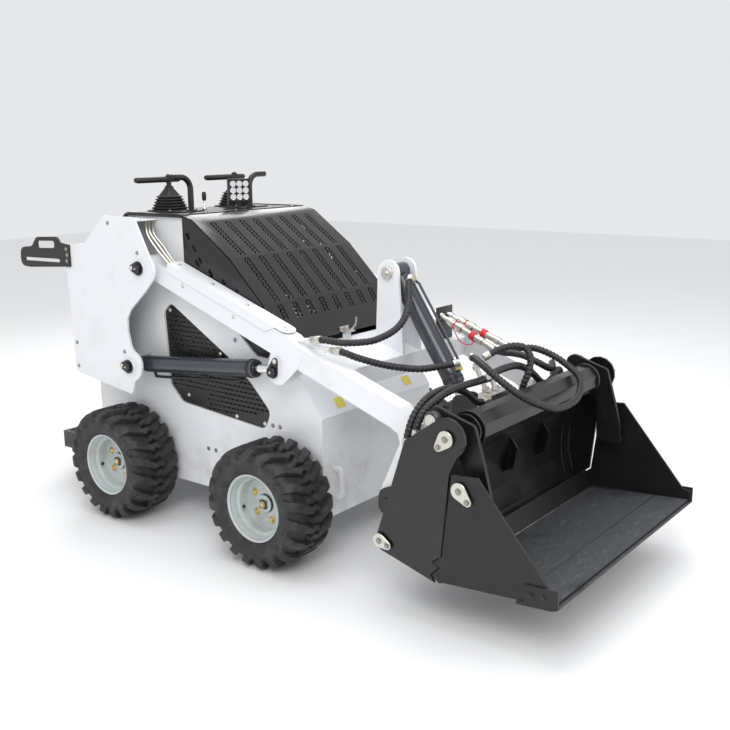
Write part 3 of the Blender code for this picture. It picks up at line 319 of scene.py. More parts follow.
class Finish:
    """A material: a Principled shader and the sums that feed it."""

    def __init__(self, name, **fixed):
        self.material = bpy.data.materials.new(name)
        self.material.use_nodes = True
        self.tree = self.material.node_tree
        self.shader = self.tree.nodes["Principled BSDF"]
        self.place = None
        for key, value in fixed.items():
            self.feed(key.replace("_", " ").title(), value)

    def feed(self, name, value):
        """Set a socket of the shader, or link a value or colour to it."""
        self._set(self.shader.inputs[name], value)

    def _set(self, socket, value):
        if isinstance(value, Value):
            self.tree.links.new(value.socket, socket)
        elif isinstance(value, bpy.types.NodeSocket):
            self.tree.links.new(value, socket)
        elif isinstance(value, tuple) and len(value) == 3 and socket.type == "RGBA":
            socket.default_value = (*value, 1)
        else:
            socket.default_value = value

    def node(self, kind, inputs=(), **settings):
        """A node with its settings, then the values or links of its sockets."""
        made = self.tree.nodes.new(kind)
        stops = settings.pop("stops", None)
        for key, value in settings.items():
            setattr(made, key, value)
        if stops:
            ramp = made.color_ramp.elements
            while len(ramp) < len(stops):
                ramp.new(0.5)
            for element, (at, shade) in zip(ramp, stops):
                element.position, element.color = at, (shade, shade, shade, 1)
        for key, value in dict(inputs).items():
            self._set(made.inputs[key], value)
        return made

    def math(self, operation, *values, clamp=False):
        return Value(self, self.node("ShaderNodeMath", enumerate(values), operation=operation,
                                     use_clamp=clamp).outputs[0])

    def step(self, value, low, high):
        """0 below low, 1 above high, smooth between."""
        made = self.node("ShaderNodeMapRange", {"Value": value, "From Min": low, "From Max": high},
                         interpolation_type="SMOOTHSTEP")
        return Value(self, made.outputs["Result"])

    def coordinates(self):
        if self.place is None:
            self.place = self.node("ShaderNodeTexCoord")
        return self.place.outputs["Object"]

    def axes(self, output="Object"):
        """The three coordinates of a place, or of the surface's direction."""
        self.coordinates()
        parts = self.node("ShaderNodeSeparateXYZ", {"Vector": self.place.outputs[output]})
        return [Value(self, parts.outputs[k]) for k in range(3)]

    def noise(self, scale, detail=3.0, stretch=(1, 1, 1), roughness=0.5):
        vector = self.coordinates()
        if stretch != (1, 1, 1):
            vector = self.node("ShaderNodeMapping", {"Vector": vector, "Scale": stretch}).outputs["Vector"]
        made = self.node("ShaderNodeTexNoise", {"Vector": vector, "Scale": scale, "Detail": detail,
                                                "Roughness": roughness})
        return Value(self, made.outputs["Fac"])

    def mix(self, share, first, second):
        made = self.node("ShaderNodeMix", {0: share, 6: first, 7: second}, data_type="RGBA")
        return made.outputs[2]

    def bump(self, height, strength, distance=0.001):
        made = self.node("ShaderNodeBump", {"Height": height, "Strength": strength, "Distance": distance})
        self.feed("Normal", made.outputs["Normal"])


def paint(name, colour, dusty, roughness, coat=0.3, peel=0.04):
    """Sprayed enamel: faint mottle, dust that gathers low down, and a slight orange peel."""
    f = Finish(name, coat_weight=coat, coat_roughness=0.12)
    z = f.axes()[2]
    patches = f.noise(5.5, 5, roughness=0.62)
    dust = f.step(patches, 0.46, 0.78) * (0.20 + 0.5 * f.step(z * -1.0, -0.75, -0.15))
    f.feed("Base Color", f.mix(dust, colour, dusty))
    f.feed("Roughness", roughness + 0.16 * f.noise(14, 4) + 0.25 * dust)
    f.bump(f.noise(420, 2) + 0.25 * f.noise(60, 3), peel)
    return f.material


def metal(name, colour, stained, roughness, grain=(1, 1, 1), marks=0.5):
    """Bare or plated metal with faint stains and a fine grain."""
    f = Finish(name, metallic=1.0)
    stain = f.step(f.noise(38, 5, roughness=0.65), 0.48, 0.75) * marks
    f.feed("Base Color", f.mix(stain, colour, stained))
    f.feed("Roughness", roughness + 0.18 * f.noise(70, 4, grain) + 0.12 * stain)
    f.bump(f.noise(500, 2, grain), 0.05)
    return f.material


def rubber(name, colour, dusty, roughness, dust=0.6, fine=700, depth=0.12):
    """Rubber or soft plastic: matt, pored, with dust in patches."""
    f = Finish(name)
    film = f.step(f.noise(16, 5, roughness=0.66), 0.42, 0.74) * dust
    f.feed("Base Color", f.mix(film, colour, dusty))
    f.feed("Roughness", roughness + 0.16 * f.noise(30, 4))
    f.bump(f.noise(fine, 3) + 0.5 * f.noise(90, 4), depth)
    return f.material


def black_enamel(name, roughness=0.30, wear=0.35):
    """Black enamel with dusty smears and fine scratches that run every way."""
    f = Finish(name, coat_weight=0.15, coat_roughness=0.2)
    smear = f.step(f.noise(7, 6, roughness=0.6), 0.45, 0.8)
    scratch = f.step(f.noise(55, 6, (1, 9, 1), 0.7), 0.64, 0.70) + f.step(f.noise(50, 6, (8, 1, 2), 0.7),
                                                                          0.65, 0.71)
    share = f.math("ADD", smear * 0.35, scratch * wear, clamp=True)
    f.feed("Base Color", f.mix(share, (0.0055, 0.0055, 0.0060), (0.030, 0.030, 0.032)))
    f.feed("Roughness", roughness + 0.22 * smear + 0.1 * f.noise(20, 3))
    f.bump(f.noise(300, 2) - 0.6 * scratch, 0.05)
    return f.material


def bucket_steel(name):
    """Black enamel, worn through on upward faces low in the bucket to scuffed blue-grey steel."""
    f = Finish(name)
    x, _, z = f.axes()
    up = f.axes("Normal")[2]
    floor = f.step(up, 0.86, 0.96) * (1.0 - f.step(z, 0.235, 0.30)) * f.step(x, 1.02, 1.04)
    broad = f.noise(5, 6, roughness=0.62)
    drag = f.noise(26, 7, (1.6, 0.5, 1), 0.74)
    fine = f.noise(170, 6, (1, 0.4, 1), 0.7)
    bare = floor * f.step(broad * 0.5 + drag * 0.5, 0.30, 0.46)
    bright = floor * f.step(drag * 0.45 + fine * 0.55, 0.52, 0.68)
    pale = f.mix(bright * 0.75, (0.080, 0.085, 0.096), (0.27, 0.28, 0.30))
    f.feed("Base Color", f.mix(bare, f.mix(f.step(f.noise(8, 6), 0.5, 0.8) * 0.3, (0.0055, 0.0055, 0.0060),
                                          (0.028, 0.028, 0.030)), pale))
    f.feed("Metallic", bare * 0.35)
    f.feed("Roughness", 0.34 + 0.2 * f.noise(15, 4) + 0.14 * bare)
    f.bump(fine + 0.8 * drag, 0.16)
    return f.material


WHITE = paint("white_enamel", (0.80, 0.815, 0.84), (0.52, 0.50, 0.47), 0.24)
RIM_WHITE = paint("rim_enamel", (0.50, 0.545, 0.54), (0.30, 0.29, 0.27), 0.28)
BLACK = black_enamel("black_enamel")
HOOD_BLACK = black_enamel("hood_enamel", 0.16, 0.10)
BUCKET = bucket_steel("bucket_steel")
CYLINDER = paint("cylinder_enamel", (0.026, 0.031, 0.041), (0.08, 0.08, 0.085), 0.22, 0.4)
TYRE = rubber("tyre_rubber", (0.018, 0.018, 0.020), (0.072, 0.070, 0.072), 0.50, 0.6, 420, 0.2)
HOSE = rubber("hose_cover", (0.013, 0.013, 0.0145), (0.034, 0.034, 0.037), 0.34, 0.4)
BOOT = rubber("boot_rubber", (0.014, 0.014, 0.015), (0.04, 0.04, 0.04), 0.5, 0.3)
PLASTIC = rubber("black_plastic", (0.013, 0.013, 0.014), (0.035, 0.035, 0.036), 0.38, 0.3, 900, 0.06)
CHROME = metal("hard_chrome", (0.86, 0.86, 0.87), (0.6, 0.6, 0.6), 0.05, (1, 1, 1), 0.15)
ZINC = metal("zinc_plate", (0.66, 0.64, 0.59), (0.42, 0.38, 0.30), 0.24)
WELD = black_enamel("weld_scale", 0.4, 0.9)
BOLT_STEEL = metal("bolt_steel", (0.36, 0.34, 0.31), (0.20, 0.17, 0.13), 0.30)
GOLD = metal("yellow_zinc", (0.66, 0.50, 0.22), (0.40, 0.30, 0.14), 0.28)
# Dark grey of the cast motor; the same grey is also painted shade on each hub's square hole.
CAST_GREY_AND_HOLE_SHADE = paint("cast_grey_and_hole_shade", (0.055, 0.055, 0.058), (0.13, 0.12, 0.11), 0.5, 0.0, 0.25)
LABEL = rubber("yellow_label", (0.80, 0.68, 0.10), (0.62, 0.55, 0.20), 0.35, 0.4, 200, 0.02)
RED = rubber("red_cord", (0.62, 0.02, 0.025), (0.50, 0.06, 0.06), 0.4, 0.3)
GLASS = metal("lamp_mirror", (0.90, 0.92, 0.94), (0.7, 0.7, 0.7), 0.08)

LOOKS = {"white_paint": WHITE, "rim_paint": RIM_WHITE, "black_paint": BLACK, "hood_black": HOOD_BLACK,
         "deck_black": PLASTIC, "cast_motor": CAST_GREY_AND_HOLE_SHADE, "cylinder_paint": CYLINDER, "chrome": CHROME,
         "zinc": ZINC,
         "brass": GOLD, "worn_steel": BUCKET, "tyre_rubber": TYRE, "pad_rubber": BOOT, "hose_black": HOSE,
         "label_yellow": LABEL, "cap_red": RED, "lamp_glass": GLASS}
for entry in frame["record"]["subparts"]:
    node = frame["nodes"][entry["node"]]
    look = BUCKET if entry["node"] in ("bucket_clam", "cutting_edge") else LOOKS[entry["material_slot"]]
    for place in node.material_slots:
        place.material = look
    if not node.material_slots:
        node.data.materials.append(look)
    if entry["node"] in BEVELLED:
        weld = node.modifiers.new("weld", "WELD")
        weld.merge_threshold = 0.00004
        edge = node.modifiers.new("edge", "BEVEL")
        edge.width = 0.012 if entry["node"] == "knee_pad" else 0.0014
        edge.segments = 3 if entry["node"] == "knee_pad" else 2
        edge.limit_method, edge.angle_limit = "ANGLE", math.radians(31)
        edge.use_clamp_overlap = True


def inside(outline, places):
    """True for each place that lies within an outline: a ray to +b crosses it an odd number of times."""
    a, b = np.asarray(outline, float), np.roll(np.asarray(outline, float), -1, 0)
    x, y = places[:, None, 0], places[:, None, 1]
    spans = (a[None, :, 0] > x) != (b[None, :, 0] > x)
    run = np.where(np.abs(b[:, 0] - a[:, 0]) < 1e-12, 1e-12, b[:, 0] - a[:, 0])
    crossing = a[None, :, 1] + (x - a[None, :, 0]) / run[None] * (b[:, 1] - a[:, 1])[None]
    return np.sum(spans & (crossing > y), 1) % 2 == 1


def perforated(outline, slots, folds, lay, thick):
    """Sheet with slotted holes. slots are rows of (a, b, half length, radius, angle); folds are lines it
    bends along; lay(places, depth) gives the points in space of places (a, b) at a depth in the sheet."""
    rings = [np.asarray(outline, float)]
    arc = np.linspace(-math.pi / 2, math.pi / 2, 4)
    for a, b, half, radius, angle in slots:
        way = np.array([math.cos(angle), math.sin(angle)])
        across = np.array([-way[1], way[0]])
        ends = [sign * (half * way + radius * (math.cos(t) * way + math.sin(t) * across)) for sign in (1, -1)
                for t in arc]
        rings.append(np.array([a, b]) + np.array(ends))
    points, edges, base = [], [], 0
    for ring in rings:
        points += ring.tolist()
        edges += [(base + k, base + (k + 1) % len(ring)) for k in range(len(ring))]
        base += len(ring)
    for start, end in folds:
        points += [start, end]
        edges.append((base, base + 1))
        base += 2
    found = delaunay_2d_cdt([Vector(p) for p in points], edges, [], 0, 1e-7)
    flat = np.array([tuple(p) for p in found[0]])
    corners = np.array(found[2])
    middle = flat[corners].mean(1)
    keep = inside(outline, middle)
    for a, b, half, radius, angle in slots:
        way = np.array([math.cos(angle), math.sin(angle)])
        offset = middle - (a, b)
        along = np.clip(offset @ way, -half, half)
        keep &= np.hypot(*(offset - along[:, None] * way).T) > radius * 0.93
    corners = corners[keep]
    sides = np.concatenate([corners[:, [0, 1]], corners[:, [1, 2]], corners[:, [2, 0]]])
    key = np.sort(sides, 1)
    _, index, counts = np.unique(key, axis=0, return_inverse=True, return_counts=True)
    rim = sides[counts[index.ravel()] == 1]
    count = len(flat)
    faces = corners.tolist() + (corners[:, ::-1] + count).tolist()
    faces += np.stack([rim[:, 1], rim[:, 0], rim[:, 0] + count, rim[:, 1] + count], 1).tolist()
    return np.concatenate([lay(flat, 0.0), lay(flat, thick)]), faces


def on_side(y, side=1):
    """Lay places (x, z) on an upright plane at a distance y out from the middle, a depth going outward."""
    return lambda places, depth: np.stack([places[:, 0], np.full(len(places), side * (y + depth)),
                                           places[:, 1]], 1)


def axle(shape, x, z, y=0.0, side=1):
    """A turned shape laid with its axis along Y, its heights outward on one side."""
    return shape[0][:, [0, 2, 1]] * np.array([1, side, 1]) + np.array([x, side * y, z]), shape[1]


# ---- wheels -----------------------------------------------------------------------------------
def tyre():
    """Tyre of one wheel about the origin, heights outward. A section (height, radius) runs from bead to bead;
    each lug stands out along the section's normal where the distance round the tread to the lug's middle line
    is under its half width. The middle line's angle grows with the distance from a kink near the crown, and
    the grid leans with it so that the lugs' edges follow the grid."""
    half = curve([(0.0972, 0.1275, 0), (0.0972, 0.1400, 0), (0.1045, 0.1470, 0), (0.1145, 0.1610, 0),
                  (0.1180, 0.1790, 0), (0.1165, 0.1980, 0), (0.1110, 0.2130, 0), (0.1010, 0.2230, 0),
                  (0.0860, 0.2290, 0), (0.0580, 0.2305, 0), (0.0280, 0.2310, 0), (0, 0.2310, 0)], 0.0045)[:,
                                                                                                          :2]
    section = np.vstack([half, half[-2::-1] * np.array([-1, 1])])
    run = np.concatenate([[0], np.cumsum(np.linalg.norm(np.diff(section, axis=0), axis=1))])
    out = run[-1] / 2 - run
    ahead = np.gradient(section, axis=0)
    normal = np.stack([ahead[:, 1], -ahead[:, 0]], 1)
    normal /= np.linalg.norm(normal, axis=1)[:, None]
    pitch = math.tau / LUGS
    lean = 2.1 * np.abs(np.abs(out) - 0.020)
    angle = (np.arange(LUGS * 22) * math.tau / (LUGS * 22))[:, None] + lean[None]
    height = np.zeros_like(angle)
    for hand, offset in ((1, 0.25), (-1, -0.25)):
        reach = hand * out
        turn = (angle - lean[None]) / pitch + offset
        gap = np.abs(turn - np.floor(turn) - 0.5) * pitch * TYRE_RADIUS
        half_width = np.interp(reach, [-0.02, 0.02, 0.09, 0.14], [0.0135, 0.0170, 0.0235, 0.0275])
        lug = np.clip((half_width - gap) / 0.0036, 0, 1) * np.clip((reach + 0.024) / 0.004, 0, 1)
        lug *= np.clip((0.137 - reach) / 0.008, 0, 1)
        height = np.maximum(height, lug)
    depth = np.interp(np.abs(out), [0, 0.086, 0.108, 0.124, 0.137],
                      [LUG_DEPTH, LUG_DEPTH, 0.0185, 0.0115, 0.0035])
    ribs = 0.0011 * np.exp(-((out - 0.168) / 0.0022) ** 2) + 0.0011 * np.exp(-((out + 0.168) / 0.0022) ** 2)
    height = height * depth + ribs
    radius = section[:, 1] + height * normal[:, 1]
    points = np.stack([radius * np.cos(angle), radius * np.sin(angle), section[:, 0] + height * normal[:, 0]],
                      -1)
    return grid(points, wrap_u=True, wrap_v=True)


def wheel(end, side_name, side, x):
    """Lugged tyre, stepped rim with its five wheel bolts, hub and valve."""
    place = dict(x=x, z=TYRE_RADIUS, y=TRACK_HALF, side=side)
    tag = end + "_" + side_name
    body = "wheel_" + tag
    piece("tyre_tread_" + tag, axle(tyre(), **place), TYRE, body, 38, ["tyre_" + tag])
    profile = [(0.1268, 0.0965), (0.1392, 0.0965), (0.1405, 0.0985), (0.1405, 0.1018), (0.1385, 0.1040),
               (0.1350, 0.1035), (0.1305, 0.1000), (0.1265, 0.0940), (0.1235, 0.0860), (0.1215, 0.0760),
               (0.1205, 0.0690), (0.1170, 0.0650), (0.1120, 0.0630), (0.1095, 0.0590), (0.1080, 0.0500),
               (0.1072, 0.0380), (0.1060, 0.0270), (0.1030, 0.0225), (0.0980, 0.0205), (0.0880, 0.0200),
               (0.0600, 0.0200), (0.0580, 0.0215), (0.0560, 0.0220), (0.0385, 0.0220), (0.0380, 0.0120),
               (0.1060, 0.0120), (0.1120, 0.0180), (0.1200, 0.0600), (0.1200, -0.0700), (0.1265, -0.0940),
               (0.1350, -0.1035), (0.1385, -0.1040), (0.1405, -0.1018), (0.1405, -0.0985), (0.1392, -0.0965),
               (0.1268, -0.0965)]
    piece("rim_shell_" + tag, axle(lathe(profile, 96, closed=True), **place), RIM_WHITE, body,
          28,
          ["rim_" + tag])
    ring = math.radians(78) + np.arange(5) * math.tau / 5
    shapes = []
    for a in ring:
        at = (x + 0.070 * math.cos(a), side * (TRACK_HALF + 0.020), TYRE_RADIUS + 0.070 * math.sin(a))
        shapes.append(bolt(at, (0, side, 0), 0.0115))
    piece("wheel_bolts_" + tag, join(shapes), GOLD, body)
    a = math.radians(196)
    root = np.array([x + 0.1085 * math.cos(a), side * (TRACK_HALF + 0.046),
                     TYRE_RADIUS + 0.1085 * math.sin(a)])
    way = np.array([-math.cos(a), 0.9 * side, -math.sin(a)])
    valve = lathe([(0.001, 0), (0.0075, 0), (0.0070, 0.004), (0.0045, 0.007), (0.0042, 0.018),
                   (0.0055, 0.0185),
                   (0.0055, 0.027), (0.0045, 0.029), (0.001, 0.029)], 14)
    piece("wheel_valve_" + tag, moved(valve, basis(way), root), BOOT, body)
    nose = [(0.001, 0.0265), (0.0365, 0.0265), (0.0365, 0.0330), (0.0340, 0.0350), (0.0150, 0.0350),
            (0.0150, 0.0330), (0.001, 0.0330)]
    piece("hub_" + tag, axle(lathe(nose, 40), **place), RIM_WHITE, body)
    # Dark square: a raised dark grey plate painted as the shade inside the hub's square hole round the nut.
    square = moved(brick((-0.017, -0.017, 0), (0.017, 0.017, 0.011)), by=(0, 0, 0.0345))
    piece("hub_square_" + tag, axle(square, **place), CAST_GREY_AND_HOLE_SHADE, body)
    nut = bolt((x, side * (TRACK_HALF + 0.0445), TYRE_RADIUS), (0, side, 0), 0.0095)
    piece("hub_nut_" + tag, nut, GOLD, body)


# ---- tub --------------------------------------------------------------------------------------
def side_bolts():
    """Bolt heads on the side plates, towers and rear wall."""
    shapes = []
    for _, side in SIDES:
        for x, z in ((0.423, 0.350), (0.470, 0.350), (0.820, 0.524), (0.861, 0.524), (0.617, 0.862),
                     (0.872, 0.809),
                     (-0.06, 0.300), (-0.01, 0.300)):
            shapes.append(bolt((x, side * TUB_HALF, z), (0, side, 0), 0.0068))
        for x, z in ((0.188, 1.215), (-0.301, 1.135), (-0.286, 0.771), (0.060, 0.768), (-0.286, 0.66),
                     (0.0, 1.335)):
            shapes.append(bolt((x, side * TOWER_OUT, z), (0, side, 0), 0.0062))
    for y in (-0.245, 0.245):
        for z in (0.40, 0.75, 1.10):
            shapes.append(bolt((-0.3295, y, z), (-1, 0, 0), 0.0065))
    piece("side_bolts", join(shapes), BOLT_STEEL, "chassis")


def grilles():
    """Black side grilles with staggered rows of slots, and their screws."""
    outline = rounded([(0.150, 0.96, 0.03), (0.215, 1.01, 0.03), (0.60, 0.91, 0.02), (0.835, 0.845, 0.02),
                       (0.845, 0.55, 0.04), (0.80, 0.472, 0.03), (0.24, 0.510, 0.03), (0.165, 0.60, 0.03)])
    slots = []
    for row in range(20):
        z = 0.535 + 0.0205 * row
        for k in range(24):
            x = 0.195 + 0.0265 * k + (0.01325 if row % 2 else 0)
            low = 0.60 if x < 0.43 else 0.53 + 0.03 * math.cos(8 * x)
            if low < z < min(0.945, 1.095 - 0.56 * x) and x < 0.79:
                slots.append((x, z, 0.0075, 0.0032, 0.0))
    screws = []
    for side_name, side in SIDES:
        sheet = perforated(outline, slots, [], on_side(0.3627, side), 0.004)
        piece("side_screen_" + side_name, sheet, BLACK, "chassis", 30,
              ["side_grille_" + side_name])
        for x, z in ((0.203, 0.949), (0.512, 0.787), (0.235, 0.560), (0.300, 0.575), (0.765, 0.520),
                     (0.60, 0.525)):
            screws.append(bolt((x, side * 0.3667, z), (0, side, 0), 0.0062))
    piece("screen_screws", join(screws), ZINC, "chassis")


def labels():
    """Blank yellow labels on the sloped front, square-cornered."""
    way = np.array([0.915 - 1.089, 0, 0.839 - 0.593])
    way /= np.linalg.norm(way)
    out = np.array([way[2], 0, -way[0]])
    shapes = []
    for _, side in SIDES:
        middle = np.array([1.0625, side * 0.233, 0.631])
        flat = plate(rounded([(-0.026, -0.022, 0.003), (0.026, -0.022, 0.003), (0.026, 0.022, 0.003),
                              (-0.026, 0.022, 0.003)], 3), 0.0004, 0.0012, "z")
        turn = np.stack([np.array([0, 1, 0]), way, out], 1)
        shapes.append(moved(flat, turn, middle))
    piece("warning_labels", join(shapes), LABEL, "chassis")


def pins():
    """Black pin retainers with a zinc bolt, on the towers and on the arms' knee brackets."""
    for body, name, places in (("chassis", "tower", (LIFT_PIVOT, LIFT_BASE)),
                               ("lift_arms", "knee", (ROD_PIN,))):
        discs, bolts = [], []
        for _, side in SIDES:
            for x, z in places:
                base = TOWER_OUT + 0.006 if body == "chassis" else CYL_MID + 0.043
                tail = (x - 0.040, z) if body == "chassis" else (x + 0.014, z + 0.044)
                low, high = sorted((side * (base + 0.0002), side * (base + 0.0075)))
                size = 0.031 if body == "chassis" else 0.027
                discs.append(plate(drop((x, z), tail, size, 0.014), low, high, bevel=0.0015))
                cap = lathe([(0.001, 0), (0.0215, 0), (0.0215, 0.011), (0.0195, 0.013), (0.006, 0.013),
                             (0.005, 0.010), (0.001, 0.010)], 36)
                discs.append(axle(cap, x, z, base + 0.006, side))
                bolts.append(bolt((tail[0], side * (base + 0.0075), tail[1]), (0, side, 0), 0.0075))
                bolts.append(axle(lathe([(0.001, 0), (0.0052, 0), (0.0052, 0.006), (0.001, 0.007)], 12),
                                  x, z, base + 0.016, side))
        piece(name + "_pin_plates", join(discs), BLACK, body)
        piece(name + "_pin_bolts", join(bolts), ZINC, body)


# ---- hood and deck ----------------------------------------------------------------------------
def hood():
    """Folded hood sheet with eight bands of paired leaning slots, slotted side panels and a latch."""
    path = np.array([(0.3425, 1.370), (0.405, 1.355), (0.620, 1.205), (0.800, 1.030), (0.905, 0.868)])
    run = np.concatenate([[0], np.cumsum(np.linalg.norm(np.diff(path, axis=0), axis=1))])
    ahead = np.diff(path, axis=0) / np.linalg.norm(np.diff(path, axis=0), axis=1)[:, None]
    normal = np.stack([-ahead[:, 1], ahead[:, 0]], 1)
    corner = np.vstack([normal[:1], (normal[1:] + normal[:-1]), normal[-1:]])
    corner[1:-1] /= np.sum(corner[1:-1] * normal[1:], 1)[:, None]

    def lay(places, depth):
        """Depth is taken along the mean normal at a fold."""
        x, z = (np.interp(places[:, 0], run, path[:, k] + (depth - 0.004) * corner[:, k]) for k in (0, 1))
        return np.stack([x, places[:, 1], z], 1)

    slots = []
    for band in range(8):
        for row in range(33):
            s = 0.100 + 0.0172 * row
            if np.min(np.abs(run - s)) > 0.012 and s < run[-1] - 0.055:
                for hand in (-1, 1):
                    y = 0.086 * (band - 3.5) + hand * 0.0105
                    slots.append((s, y, 0.0080, 0.0034, hand * 0.62))
    half = 0.394
    outline = [(0, -half), (run[-1], -half), (run[-1], half), (0, half)]
    folds = [((s, -half), (s, half)) for s in run[1:-1]]
    shapes = [perforated(outline, slots, folds, lay, 0.004)]
    edge = [tuple(p) for p in path] + [(0.888, 0.856), (0.345, 1.108)]
    ovals = []
    for k in range(6):
        x = 0.408 + 0.078 * k
        for row, lift in enumerate((0.055, 0.095)):
            z = 1.108 - 0.464 * (x - 0.345) + lift
            if z < np.interp(x + 0.03, path[:, 0], path[:, 1]) - 0.03:
                ovals.append((x + 0.02 * row, z, 0.011, 0.0085, -0.95))
    for k in range(3):
        ovals.append((0.375 + 0.036 * k, 1.285 - 0.05 * k, 0.009, 0.0075, -0.95))
    for _, side in SIDES:
        shapes.append(perforated(edge, ovals, [], on_side(half - 0.004, side), 0.004))
    piece("hood_sheet", join(shapes), HOOD_BLACK, "hood", 24, ["hood"])
    latch = [brick((0.898, -0.030, 0.872), (0.940, 0.030, 0.877), 0.0015),
             brick((0.898, -0.030, 0.876), (0.902, 0.030, 0.895), 0.001),
             brick((0.915, -0.022, 0.876), (0.938, 0.022, 0.882), 0.001)]
    handle = [(0.930, 0.012, 0.880), (0.938, 0.018, 0.890), (0.944, 0.024, 0.905), (0.947, 0.026, 0.935)]
    latch.append(tube(curve(handle, 0.006), 0.0045, 10))
    latch += [bolt((0.908, y, 0.877), (0, 0, 1), 0.0045, False) for y in (-0.022, 0.022)]
    piece("hood_latch", join(latch), ZINC, "hood")


def deck():
    """Edge strips round the deck, joysticks in bellows boots, bent grab tubes, screws and a lever."""
    top = DECK_TOP
    strips = [brick((0.325, -0.392, top), (0.337, 0.392, top + 0.004)),
              brick((-0.025, -0.392, top), (0.325, -0.383, top + 0.0045)),
              brick((-0.025, 0.383, top), (0.325, 0.392, top + 0.0045)),
              brick((-0.30, -0.392, 1.2385), (-0.20, -0.386, 1.2425))]
    piece("deck_trim", join(strips), HOOD_BLACK, "chassis")
    screws = [bolt((x, y, top), (0, 0, 1), 0.0055) for x in (0.02, 0.29) for y in (-0.36, -0.02, 0.36)]
    for side_name, side in SIDES:
        y0 = side * 0.207
        plates = [brick((-0.022, y0 - 0.070, top + 0.0002), (0.208, y0 + 0.070, top + 0.006), 0.003)]
        side_turns = (np.arange(48) + 0.5) * math.tau / 48
        folds = [(0.066, 0.006)]
        for k in range(5):
            outer, z = 0.064 - 0.0045 * k, 0.010 + 0.0125 * k
            folds += [(outer - 0.006, z), (outer + 0.001, z + 0.0045), (outer + 0.001, z + 0.0065),
                      (outer - 0.008, z + 0.011)]
        folds += [(0.038, 0.070), (0.030, 0.082), (0.021, 0.096), (0.0155, 0.104), (0.0150, 0.113),
                  (0.001, 0.1135)]
        corner = (np.abs(np.cos(side_turns)) ** 7 + np.abs(np.sin(side_turns)) ** 7) ** (-1 / 7)
        square = np.stack([corner * np.cos(side_turns), corner * np.sin(side_turns)], 1)
        levels = np.array(folds)
        rings = np.empty((len(levels), 48, 3))
        rings[..., :2] = levels[:, None, :1] * square[None]
        rings[..., 2] = levels[:, None, 1]
        boot = moved(grid(rings, wrap_v=True, cap=True), by=(0.055, y0, top))
        stick = [moved(lathe([(0.001, 0), (0.0115, 0), (0.0115, 0.040), (0.0145, 0.043), (0.0145, 0.051),
                              (0.001, 0.051)], 24), by=(0.055, y0, top + 0.108))]
        ball = [(0.0145 * math.cos(t), 0.016 * math.sin(t)) for t in np.linspace(-1.45, 1.5, 14)]
        stick.append(moved(lathe([(0.001, -0.0165)] + ball + [(0.001, 0.0162)], 28), by=(0.055, y0, 1.5205)))
        grip = [(0.055, y0 - 0.190, 1.513), (0.055, y0 - 0.10, 1.513), (0.055, y0, 1.513),
                (0.055, y0 + 0.065, 1.513)]
        path = curve(grip, 0.004)
        taper = np.minimum(1,
                           0.72 + 0.28 * np.minimum(np.arange(len(path)), np.arange(len(path))[::-1]) / 2.5)
        stick.append(tube(path, 0.0132 * taper, 20,
                          lambda s, a: 0.0007 * np.cos(6 * a) * (s < 0.12)))
        foot = (0.175, side * 0.187)
        bend = [(foot[0], foot[1], top + 0.0065), (foot[0], foot[1], 1.44)]
        bend += [(foot[0], foot[1] + side * 0.055 * (1 - math.cos(a)), 1.470 + 0.055 * math.sin(a))
                 for a in np.linspace(0, math.pi / 2, 8)]
        bend.append((foot[0], foot[1] + side * 0.105, 1.525))
        bar = [tube(bend, 0.0133, 22), moved(lathe([(0.001, 0), (0.026, 0), (0.026, 0.005), (0.015, 0.007),
                                                   (0.001, 0.007)], 30), by=(*foot, top + 0.006))]
        screws += [bolt((x, y0 + dy, top + 0.006), (0, 0, 1), 0.005) for x in (-0.008,
                                                                               0.118) for dy in (-0.056,
                                                                                                 0.056)]
        piece("bellows_" + side_name, boot, BOOT, "chassis", 40)
        piece("stick_" + side_name, join(plates + stick), PLASTIC, "chassis", 36,
              ["joystick_" + side_name])
        piece("grab_tube_" + side_name, join(bar), BLACK, "chassis", 36,
              ["grab_bar_" + side_name])
    piece("deck_screws", join(screws), ZINC, "chassis")
    lever = [moved(lathe([(0.001, 0), (0.011, 0), (0.011, 0.006), (0.0075, 0.010), (0.0050, 0.014),
                          (0.0046, 0.046),
                          (0.001, 0.047)], 22), by=(0.108, -0.045, top))]
    piece("lever_shaft", join(lever), CHROME, "chassis", 36, ["deck_lever"])
    knob = lathe([(0.001, 0.040), (0.0070, 0.041), (0.0095, 0.046), (0.0105, 0.060), (0.0102, 0.074),
                  (0.0070, 0.081),
                  (0.001, 0.0815)], 24)
    piece("lever_knob", moved(knob, by=(0.108, -0.045, top)), PLASTIC, "chassis")


